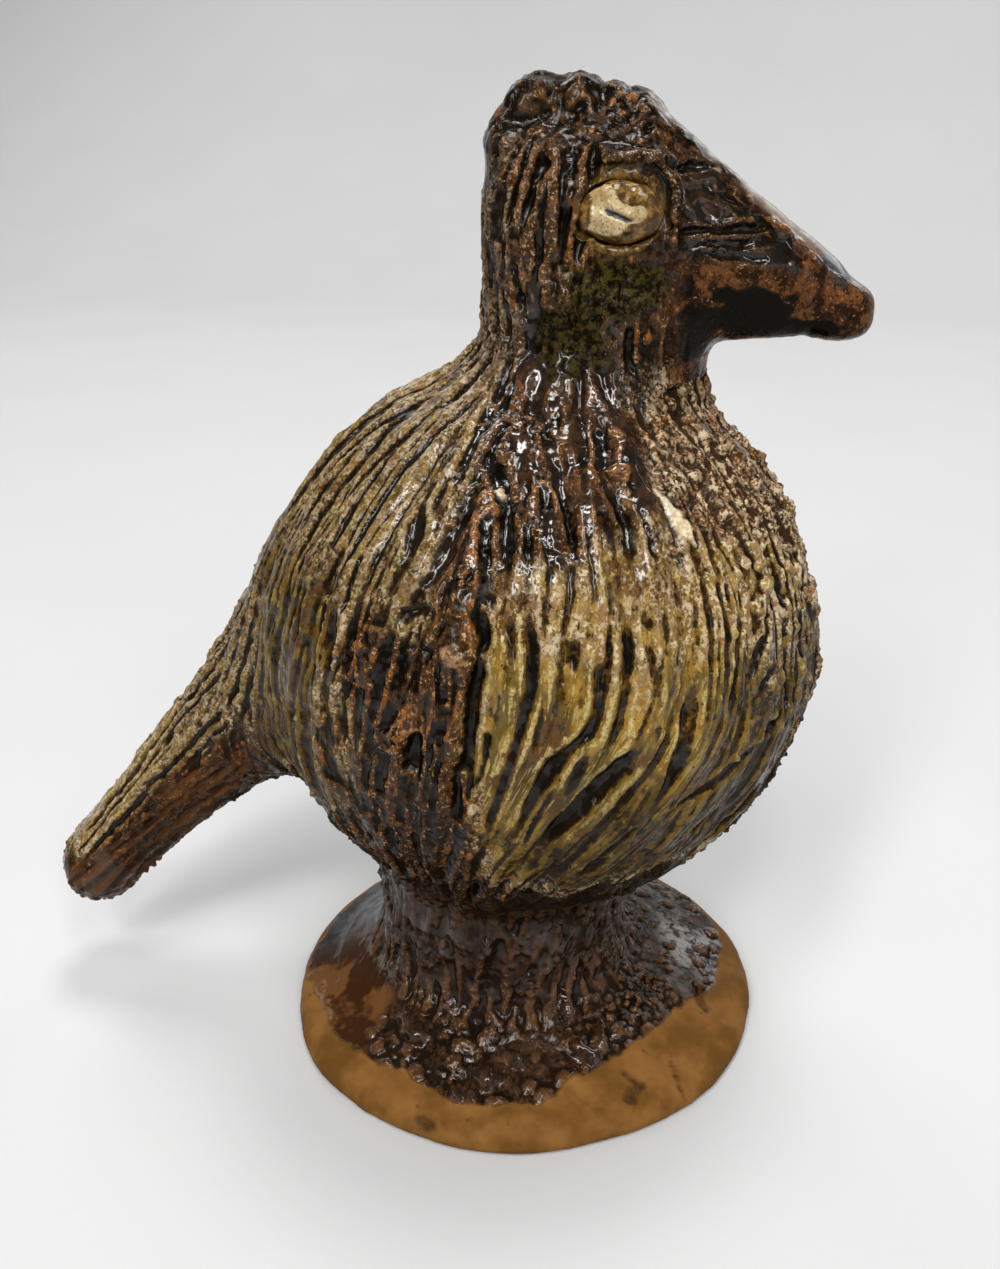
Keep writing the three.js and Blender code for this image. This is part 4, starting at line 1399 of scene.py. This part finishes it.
PIECES = {
    "foot": ("base_disc", "bare_rim"),
    "stem": ("pedestal_stem", "dark_glaze"),
    "lower_body": ("body_lower_bowl", "olive_glaze"),
    "upper_body": ("body_upper_bowl", "olive_glaze"),
    "neck_collar": ("neck", "brown_glaze"),
    "head_block": ("head", "brown_glaze"),
    "beak_wedge": ("beak", "beak_glaze"),
    "comb_strip": ("comb", "brown_glaze"),
    "tail_bar": ("tail", "brown_glaze"),
}


def face_labels(vertices, quads):
    """Which piece each face belongs to: the form that it lies nearest to."""
    centres = np.float32(vertices[quads].mean(1))
    distances = {name: form(centres) for name, form in FORMS.items()}
    nearest = np.array(list(distances))[np.argmin(list(distances.values()), axis=0)]
    labels = np.full(len(quads), "foot", object)
    for piece, (node, _) in PIECES.items():
        labels[nearest == node] = piece
    globe = nearest == "globe"
    labels[globe & (centres[:, 2] < GLOBE[2])] = "lower_body"
    labels[globe & (centres[:, 2] >= GLOBE[2])] = "upper_body"
    return labels


def placed(name, data):
    """A new object in the scene."""
    thing = bpy.data.objects.new(name, data)
    bpy.context.scene.collection.objects.link(thing)
    return thing


def lay(mesh, layers):
    """Masks laid on a mesh as attributes."""
    for key, values in layers.items():
        layer = mesh.attributes.new(key, "FLOAT", "POINT")
        layer.data.foreach_set("value", values.astype(np.float32))


def add_mesh(name, vertices, faces, layers, lanes, normals):
    mesh = bpy.data.meshes.new(name)
    mesh.vertices.add(len(vertices))
    mesh.vertices.foreach_set("co", (np.asarray(vertices) * MM).astype(np.float32).ravel())
    sides = faces.shape[1]
    mesh.loops.add(faces.size)
    mesh.loops.foreach_set("vertex_index", faces.astype(np.int32).ravel())
    mesh.polygons.add(len(faces))
    mesh.polygons.foreach_set("loop_start", np.arange(0, faces.size, sides, dtype=np.int32))
    mesh.update(calc_edges=True)
    mesh.validate()
    mesh.polygons.foreach_set("use_smooth", np.ones(len(faces), bool))
    lay(mesh, layers)
    streaks = mesh.attributes.new("flow", "FLOAT_VECTOR", "POINT")
    streaks.data.foreach_set("vector", (lanes * MM).astype(np.float32).ravel())
    mesh.normals_split_custom_set_from_vertices(normals.astype(np.float32))
    return placed(name, mesh)


# Materials.

def new_material(name):
    material = bpy.data.materials.new(name)
    material.use_nodes = True
    material.node_tree.nodes.clear()
    return material


GLAZE_IOR = 1.18
GLAZE_SHEEN = (1, 0.85, 0.68)
WET_IOR = 1.56
WET_ROUGHNESS = 0.12


class Shader:
    """Short names for the nodes of one material."""

    def __init__(self, name):
        self.material = new_material(name)
        self.tree = self.material.node_tree

    def node(self, kind, **values):
        node = self.tree.nodes.new(kind)
        for key, value in values.items():
            setattr(node, key, value)
        return node

    def link(self, source, target):
        if isinstance(source, (int, float)):
            target.default_value = source
        elif isinstance(source, tuple):
            target.default_value = (*source, 1) if len(source) == 3 else source
        else:
            self.tree.links.new(source, target)

    def attribute(self, name):
        return self.node("ShaderNodeAttribute", attribute_name=name).outputs["Fac"]

    def noise(self, size_mm, detail=3, rough=0.6, streaks=False):
        """Noise over space, or in streaks that follow the strokes."""
        place = self.node("ShaderNodeTexCoord").outputs["Object"]
        if streaks:
            place = self.node("ShaderNodeAttribute", attribute_name="flow").outputs["Vector"]
        texture = self.node("ShaderNodeTexNoise")
        self.link(place, texture.inputs["Vector"])
        texture.inputs["Scale"].default_value = 1 / (size_mm * MM)
        texture.inputs["Detail"].default_value = detail
        texture.inputs["Roughness"].default_value = rough
        return texture.outputs["Fac"]

    def cells(self, size_mm):
        """Grains: how far from each one's middle, and a random tone for each."""
        texture = self.node("ShaderNodeTexVoronoi", feature="F1")
        self.link(self.node("ShaderNodeTexCoord").outputs["Object"], texture.inputs["Vector"])
        texture.inputs["Scale"].default_value = 1 / (size_mm * MM)
        tone = self.node("ShaderNodeSeparateColor")
        self.link(texture.outputs["Color"], tone.inputs[0])
        return texture.outputs["Distance"], tone.outputs[0]

    def math(self, operation, a, b):
        node = self.node("ShaderNodeMath", operation=operation)
        self.link(a, node.inputs[0])
        self.link(b, node.inputs[1])
        return node.outputs[0]

    def plus(self, a, b):
        return self.math("ADD", a, b)

    def times(self, a, b):
        return self.math("MULTIPLY", a, b)

    def most(self, a, b):
        return self.math("MAXIMUM", a, b)

    def centred(self, value, span):
        """Noise moved to lie about zero, and stretched."""
        return self.times(self.math("SUBTRACT", value, 0.5), span)

    def ramp(self, value, low, high, out_low=0.0, out_high=1.0):
        node = self.node("ShaderNodeMapRange", interpolation_type="SMOOTHSTEP")
        self.link(value, node.inputs["Value"])
        span = {"From Min": low, "From Max": high, "To Min": out_low, "To Max": out_high}
        for key, number in span.items():
            node.inputs[key].default_value = number
        return node.outputs["Result"]

    def blend(self, share, a, b):
        node = self.node("ShaderNodeMix", data_type="FLOAT")
        self.link(share, node.inputs[0])
        self.link(a, node.inputs[2])
        self.link(b, node.inputs[3])
        return node.outputs[0]

    def mix(self, share, a, b):
        node = self.node("ShaderNodeMix", data_type="RGBA")
        self.link(share, node.inputs[0])
        self.link(a, node.inputs[6])
        self.link(b, node.inputs[7])
        return node.outputs[2]

    def tint(self, value, low, high, a, b):
        """One colour where a value is low, another where it is high."""
        return self.mix(self.ramp(value, low, high), a, b)

    def finish(self, colour, roughness, bump_height, bump_mm, wet=0.0):
        shader = self.node("ShaderNodeBsdfPrincipled")
        self.link(colour, shader.inputs["Base Color"])
        self.link(roughness, shader.inputs["Roughness"])
        shader.inputs["IOR"].default_value = GLAZE_IOR
        shader.inputs["Specular Tint"].default_value = (*GLAZE_SHEEN, 1)
        shader.inputs["Coat IOR"].default_value = WET_IOR
        shader.inputs["Coat Roughness"].default_value = WET_ROUGHNESS
        self.link(wet, shader.inputs["Coat Weight"])
        bump = self.node("ShaderNodeBump")
        bump.inputs["Strength"].default_value = 1.0
        bump.inputs["Distance"].default_value = bump_mm * MM
        self.link(bump_height, bump.inputs["Height"])
        self.link(bump.outputs[0], shader.inputs["Normal"])
        output = self.node("ShaderNodeOutputMaterial")
        self.link(shader.outputs[0], output.inputs[0])
        return self.material


def glaze(name):
    """Iron glaze over combed clay: black where it pools, rusty where it breaks, olive where ash ran, with
    painted shade low on the globe.
    """
    s = Shader(name)
    fine = s.attribute("fine")
    broad = s.attribute("broad")
    dark_glaze_and_shade = s.attribute("dark_glaze_and_shade")
    dust = s.attribute("dust")
    olive = s.attribute("olive")
    speckle = s.noise(0.35, 3, 0.65)
    fleck = s.noise(0.75, 3, 0.7)
    blotch = s.noise(1.9, 4, 0.65)
    cloud = s.noise(6, 3, 0.6)
    hairs = s.noise(0.4, 2, 0.6, streaks=True)
    runs = s.noise(1.2, 3, 0.6, streaks=True)
    reach, tone = s.cells(0.6)
    wander = s.plus(s.centred(fleck, 1.0), s.centred(blotch, 1.3))
    wander = s.plus(wander, s.plus(s.centred(hairs, 1.2), s.centred(runs, 1.2)))
    sunk = s.plus(s.plus(s.times(fine, 0.6), broad), wander)
    # Sunk places take the tones of pooled glaze, and so do the dark glaze and the painted shade low on the
    # globe.
    drowned_and_shaded = s.plus(sunk, s.times(dark_glaze_and_shade, 0.6))

    rust = s.tint(cloud, 0.4, 0.56, (0.08, 0.033, 0.01), (0.2, 0.07, 0.014))
    rust = s.tint(cloud, 0.58, 0.66, rust, (0.33, 0.11, 0.018))
    rust = s.tint(tone, 0.25, 0.8, s.mix(0.75, rust, (0.014, 0.007, 0.003)), rust)
    rust = s.tint(speckle, 0.56, 0.62, rust, (0.42, 0.26, 0.12))
    umber = s.tint(fleck, 0.42, 0.58, (0.008, 0.004, 0.002), (0.055, 0.022, 0.007))
    brown = s.tint(drowned_and_shaded, -0.5, -0.05, rust, umber)
    brown = s.tint(drowned_and_shaded, 0.05, 0.4, brown, s.mix(dust, (0.003, 0.002, 0.0012), (0.035, 0.018, 0.009)))

    honey = s.tint(blotch, 0.38, 0.62, (0.33, 0.195, 0.035), (0.21, 0.1, 0.012))
    moss = s.tint(runs, 0.42, 0.58, honey, (0.12, 0.08, 0.015))
    moss = s.tint(cloud, 0.52, 0.64, moss, (0.1, 0.045, 0.008))
    moss = s.tint(hairs, 0.56, 0.66, moss, (0.4, 0.29, 0.09))
    pale = s.tint(speckle, 0.42, 0.58, (0.32, 0.22, 0.06), (0.54, 0.41, 0.17))
    deep = s.tint(fleck, 0.42, 0.58, (0.07, 0.034, 0.006), (0.02, 0.01, 0.003))
    pooled = s.tint(drowned_and_shaded, -1.15, -0.7, pale, moss)
    pooled = s.tint(drowned_and_shaded, 0.1, 0.6, pooled, deep)
    pooled = s.tint(drowned_and_shaded, 0.8, 1.15, pooled, (0.005, 0.004, 0.003))
    pooled = s.tint(fleck, 0.64, 0.7, pooled, (0.05, 0.014, 0.005))
    colour = s.mix(olive, brown, pooled)
    # Darkened towards near black by the dark glaze and by painted shade low on the globe.
    colour = s.mix(s.times(dark_glaze_and_shade, 0.6), colour, (0.012, 0.007, 0.003))
    pool = s.attribute("pool")
    treacle = s.tint(blotch, 0.45, 0.6, (0.008, 0.004, 0.002), (0.05, 0.02, 0.006))
    colour = s.mix(s.times(pool, 0.7), colour, treacle)

    shore = s.times(s.ramp(olive, 0.1, 0.5), s.ramp(olive, 0.98, 0.6))
    crusty = s.most(dust, s.times(shore, 0.8))
    crusty = s.times(crusty, s.ramp(sunk, 0.5, -0.2))
    crusty = s.times(crusty, s.ramp(s.plus(speckle, s.centred(blotch, 0.6)), 0.44, 0.52))
    tan = s.tint(tone, 0.2, 0.8, (0.26, 0.15, 0.075), (0.58, 0.46, 0.29))
    colour = s.mix(crusty, colour, tan)
    clouded = s.times(s.attribute("stem"), s.ramp(cloud, 0.35, 0.6, 0.35, 0.8))
    colour = s.mix(clouded, colour, s.tint(sunk, -0.4, 0.3, (0.075, 0.036, 0.019), (0.018, 0.009, 0.005)))

    russet = s.tint(runs, 0.42, 0.6, (0.02, 0.009, 0.004), (0.13, 0.05, 0.014))
    mossy = s.tint(fleck, 0.44, 0.6, (0.004, 0.0022, 0.0006), (0.045, 0.033, 0.006))
    amber = s.tint(fleck, 0.4, 0.6, (0.05, 0.024, 0.005), (0.2, 0.115, 0.026))
    copper = s.tint(blotch, 0.42, 0.56, (0.02, 0.008, 0.003), (0.135, 0.05, 0.016))
    copper = s.tint(fleck, 0.5, 0.58, copper, s.mix(0.75, copper, (0.008, 0.004, 0.002)))
    copper = s.tint(speckle, 0.6, 0.68, copper, (0.3, 0.14, 0.055))
    stone = s.tint(blotch, 0.35, 0.65, (0.11, 0.07, 0.045), (0.2, 0.15, 0.11))
    steel = s.tint(blotch, 0.35, 0.65, (0.016, 0.017, 0.02), (0.07, 0.08, 0.085))
    film = s.tint(cloud, 0.45, 0.55, (0.045, 0.017, 0.006), (0.15, 0.06, 0.018))
    ochre = s.tint(cloud, 0.35, 0.65, (0.14, 0.06, 0.012), (0.25, 0.113, 0.028))
    ochre = s.tint(blotch, 0.6, 0.75, ochre, (0.12, 0.045, 0.012))
    burnt = s.times(s.attribute("burnt"), s.ramp(blotch, 0.4, 0.6, 0.6, 0.95))
    ochre = s.mix(burnt, ochre, (0.04, 0.017, 0.006))
    lump = s.tint(fleck, 0.42, 0.58, (0.11, 0.045, 0.014), (0.34, 0.2, 0.1))
    cream = s.tint(speckle, 0.4, 0.6, (0.5, 0.38, 0.22), (0.72, 0.61, 0.42))
    # The zones, each laid over those before it, and how much each covers.
    zones = (
        ("under_tail", 0.7, russet),
        ("green", 1, mossy),
        ("socket", 0.85, amber),
        ("copper", 1, copper),
        ("grey", 1, stone),
        ("black", 1, (0.002, 0.0015, 0.001)),
        ("steel", 1, steel),
        ("thin", 1, film),
        ("bare", 1, ochre),
        ("lump", 1, lump),
        ("cream", 1, cream),
    )
    for zone, share, paint in zones:
        colour = s.mix(s.times(s.attribute(zone), share), colour, paint)

    gloss = s.ramp(s.plus(sunk, s.centred(s.noise(1.1, 2, 0.6), 2.0)), -0.7, -0.1, 0.22, 0.07)
    gloss = s.plus(gloss, s.times(crusty, 0.3))
    matt = s.most(s.attribute("bare"), s.attribute("cream"))
    gloss = s.blend(matt, gloss, 0.55)
    gloss = s.blend(pool, gloss, 0.07)
    dry = s.times(s.ramp(sunk, 0.1, -0.5, 0.0, 0.8), s.ramp(olive, 0, 1, 1, 0.4))
    height = s.plus(s.times(speckle, 0.9), s.times(reach, -0.5))
    height = s.times(height, dry)
    combed = s.plus(s.times(hairs, 0.25), s.times(runs, 0.5))
    height = s.plus(height, combed)
    still = s.most(s.most(s.attribute("bare"), pool), s.attribute("foot_top"))
    height = s.times(height, s.ramp(still, 0, 1, 1, 0.2))
    shine = s.times(s.attribute("wet"), s.ramp(s.noise(1.5, 2, 0.5), 0.38, 0.54))
    shine = s.most(shine, s.times(s.attribute("wet"), pool))
    return s.finish(colour, gloss, height, 0.26, shine)


def eye_material(name):
    s = Shader(name)
    rim = s.attribute("rim")
    slit = s.attribute("slit")
    speckle = s.noise(0.3, 4, 0.7)
    mottle = s.noise(1.1, 4, 0.7)
    cream = s.mix(s.ramp(s.noise(1.6, 3, 0.6), 0.35, 0.65), (0.4, 0.27, 0.11), (0.62, 0.5, 0.29))
    cream = s.tint(speckle, 0.52, 0.64, cream, (0.24, 0.12, 0.035))
    amber = s.tint(mottle, 0.4, 0.58, (0.26, 0.14, 0.028), (0.06, 0.027, 0.007))
    colour = s.mix(s.ramp(s.plus(rim, s.centred(mottle, 0.9)), 0.3, 0.7), cream, amber)
    pupil = s.ramp(s.plus(slit, s.centred(speckle, 0.5)), 0.35, 0.7)
    colour = s.mix(pupil, colour, (0.02, 0.026, 0.038))
    return s.finish(colour, s.ramp(mottle, 0.4, 0.6, 0.12, 0.35), s.noise(0.5, 3, 0.6), 0.12, 0.5)


slot_materials = {slot: glaze(slot) for slot in sorted({slot for _, slot in PIECES.values()})}
labels = face_labels(skin.points, quads)
lanes = flow(skin.points)
for piece_name, (node, slot) in PIECES.items():
    mine = quads[labels == piece_name]
    used, faces = np.unique(mine, return_inverse=True)
    faces = faces.reshape(-1, 4)
    layers = {key: values[used] for key, values in masks.items() if key not in SHAPE_ZONES}
    piece = add_mesh(piece_name, surface[used], faces, layers, lanes[used], surface_normals[used])
    piece.data.materials.append(slot_materials[slot])
    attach(piece, "root")
    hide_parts(node)


# Eye pellets.

PUPIL_TILT = math.radians(22)
PELLET_FLATNESS = 0.7
PELLET_SEAT = 0.72
PELLET_STRETCH = 1.1
PELLET_INSET = 0.15
PELLET_RINGS, PELLET_SEGMENTS = 48, 72
SLIT_HALF_LENGTH = 1.7
SLIT_HALF_WIDTH = 0.3
SLIT_DEPTH = 0.45


def eye_pellet(name, node, side):
    low, high = box_mm(node)
    centre, radii = (low + high) / 2, (high - low) / 2
    rings, segments = PELLET_RINGS, PELLET_SEGMENTS
    polar = np.linspace(0, math.pi, rings + 1)[1:-1]
    round_axis = np.arange(segments) * 2 * math.pi / segments
    a, b = np.meshgrid(polar, round_axis, indexing="ij")
    flat = np.sign(np.cos(a)) * np.abs(np.cos(a)) ** PELLET_FLATNESS
    unit = np.stack([np.sin(a) * np.cos(b), side * flat, np.sin(a) * np.sin(b)], -1).reshape(-1, 3)
    unit = np.vstack([[0, side, 0], unit, [0, -side, 0]])
    local = unit * radii * (PELLET_STRETCH, PELLET_SEAT, 1)
    c, s = math.cos(PUPIL_TILT), math.sin(PUPIL_TILT)
    u = local[:, 0] * c - local[:, 2] * s
    w = local[:, 0] * s + local[:, 2] * c
    front = unit[:, 1] * side > 0.3
    along = (u + 0.2) / SLIT_HALF_LENGTH
    across = (w + 0.2 + 0.12 * noise(local, 1, 3)) / SLIT_HALF_WIDTH
    slit = np.exp(-(along**4) - across**2) * front
    height = 0.22 * noise(local + 40 * side, 1.8, 4) + 0.07 * noise(local, 0.7, 5) - PELLET_INSET
    height = height - SLIT_DEPTH * slit
    vertices = centre + local + unit * height[:, None]
    ring = np.arange(segments)
    faces = []
    for i in range(rings - 2):
        start = 1 + i * segments
        after = (ring + 1) % segments
        here, there = start + ring, start + after
        faces.append(np.stack([here, there, there + segments, here + segments], 1))
    faces = np.concatenate(faces)
    if side < 0:
        faces = faces[:, ::-1]
    last = len(vertices) - 1
    after = (ring + 1) % segments
    caps = np.concatenate([
        np.stack([0 * ring, after + 1, ring + 1], 1),
        np.stack([0 * ring + last, last - segments + ring, last - segments + after], 1),
    ])
    if side < 0:
        caps = caps[:, ::-1]
    mesh = bpy.data.meshes.new(name)
    mesh.from_pydata((vertices * MM).tolist(), [], faces.tolist() + caps.tolist())
    mesh.polygons.foreach_set("use_smooth", np.ones(len(mesh.polygons), bool))
    edge = np.hypot(unit[:, 0], unit[:, 2])
    leaning = edge + 0.26 * unit[:, 0] - 0.06 * unit[:, 2]
    lay(mesh, {"rim": smoothstep(0.4, 0.8, leaning + 0.35 * noise(local, 1.5, 9)), "slit": slit})
    return placed(name, mesh)


eye_look = eye_material("eye_glaze")
for eye_name, node, side in (("right_eye", "eye_right", -1), ("left_eye", "eye_left", 1)):
    pellet = eye_pellet(eye_name, node, side)
    pellet.data.materials.append(eye_look)
    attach(pellet, "root")
    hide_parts(node)


# Floor and backdrop: one sheet that curves up behind.

def add_floor():
    width, front, back, height, bend = 3.0, -1.2, 0.9, 1.6, 0.35
    profile = [(front, 0.0), (back - bend, 0.0)]
    profile += [
        (back - bend + bend * math.sin(a), bend - bend * math.cos(a))
        for a in np.linspace(0, math.pi / 2, 13)[1:]
    ]
    profile.append((back, height))
    vertices = [(side * width / 2, y, z) for y, z in profile for side in (-1, 1)]
    faces = [(2 * i, 2 * i + 1, 2 * i + 3, 2 * i + 2) for i in range(len(profile) - 1)]
    mesh = bpy.data.meshes.new("floor")
    mesh.from_pydata(vertices, [], faces)
    mesh.polygons.foreach_set("use_smooth", np.ones(len(faces), bool))
    floor = placed("floor", mesh)
    s = Shader("floor")
    pale = s.mix(s.noise(60, 2, 0.5), (0.62, 0.62, 0.62), (0.66, 0.66, 0.66))
    rays = s.node("ShaderNodeLightPath").outputs
    seen_directly = s.most(rays["Is Camera Ray"], rays["Is Glossy Ray"])
    seen_directly = s.most(seen_directly, rays["Is Transmission Ray"])
    tone = s.mix(seen_directly, (0.3, 0.3, 0.3), pale)
    floor.data.materials.append(s.finish(tone, 0.75, s.noise(2, 2, 0.5), 0.05))


add_floor()


# Light: two tall soft strips and a small lamp before the bird, lamps over and behind it, two soft fills
# beyond its beak, and an even pale world. Each lamp: its place and size in metres, and its power in watts.
LAMPS = {
    "left_strip": ((-0.26, -0.6, 0.72), (0.12, 0.7), 4.7),
    "right_strip": ((0.3, -0.56, 0.7), (0.08, 0.7), 2.8),
    "spark": ((-0.02, -0.6, 0.75), (0.13, 0.13), 2.0),
    "ceiling": ((0.05, 0.14, 0.95), (0.24, 0.24), 3.0),
    "back": ((-0.4, 0.6, 0.6), (0.4, 0.4), 1.8),
    "fill": ((0.7, -0.6, 0.35), (0.5, 0.5), 0.6),
    "far_fill": ((0.4, 0.65, 0.5), (0.5, 0.5), 1.5),
}
MIDDLE = (GLOBE[0] * MM, 0, GLOBE[2] * MM)
WORLD_STRENGTH = 0.15


def add_light(name, place, size, watts):
    data = bpy.data.lights.new(name, "AREA")
    data.shape = "RECTANGLE"
    data.size, data.size_y = size
    data.energy = watts
    lamp = placed(name, data)
    lamp.location = place
    lamp.rotation_euler = (Vector(MIDDLE) - Vector(place)).to_track_quat("-Z", "Y").to_euler()


for lamp_name, (place, size, watts) in LAMPS.items():
    add_light(lamp_name, place, size, watts)

world = bpy.data.worlds.new("studio")
world.use_nodes = True
world.node_tree.nodes["Background"].inputs["Color"].default_value = (1, 1, 1, 1)
world.node_tree.nodes["Background"].inputs["Strength"].default_value = WORLD_STRENGTH
bpy.context.scene.world = world
bpy.context.scene.view_settings.view_transform = "Standard"


# Camera.

SENSOR_WIDTH = 36
camera_data = bpy.data.cameras.new("camera")
camera_data.sensor_width = SENSOR_WIDTH
camera_data.lens = SENSOR_WIDTH * FOCAL_PIXELS / PHOTO_HEIGHT
camera = placed("camera", camera_data)
camera.location = Vector(CAMERA) * MM
camera.rotation_euler = Vector(LOOK).to_track_quat("-Z", "Y").to_euler()
bpy.context.scene.camera = camera
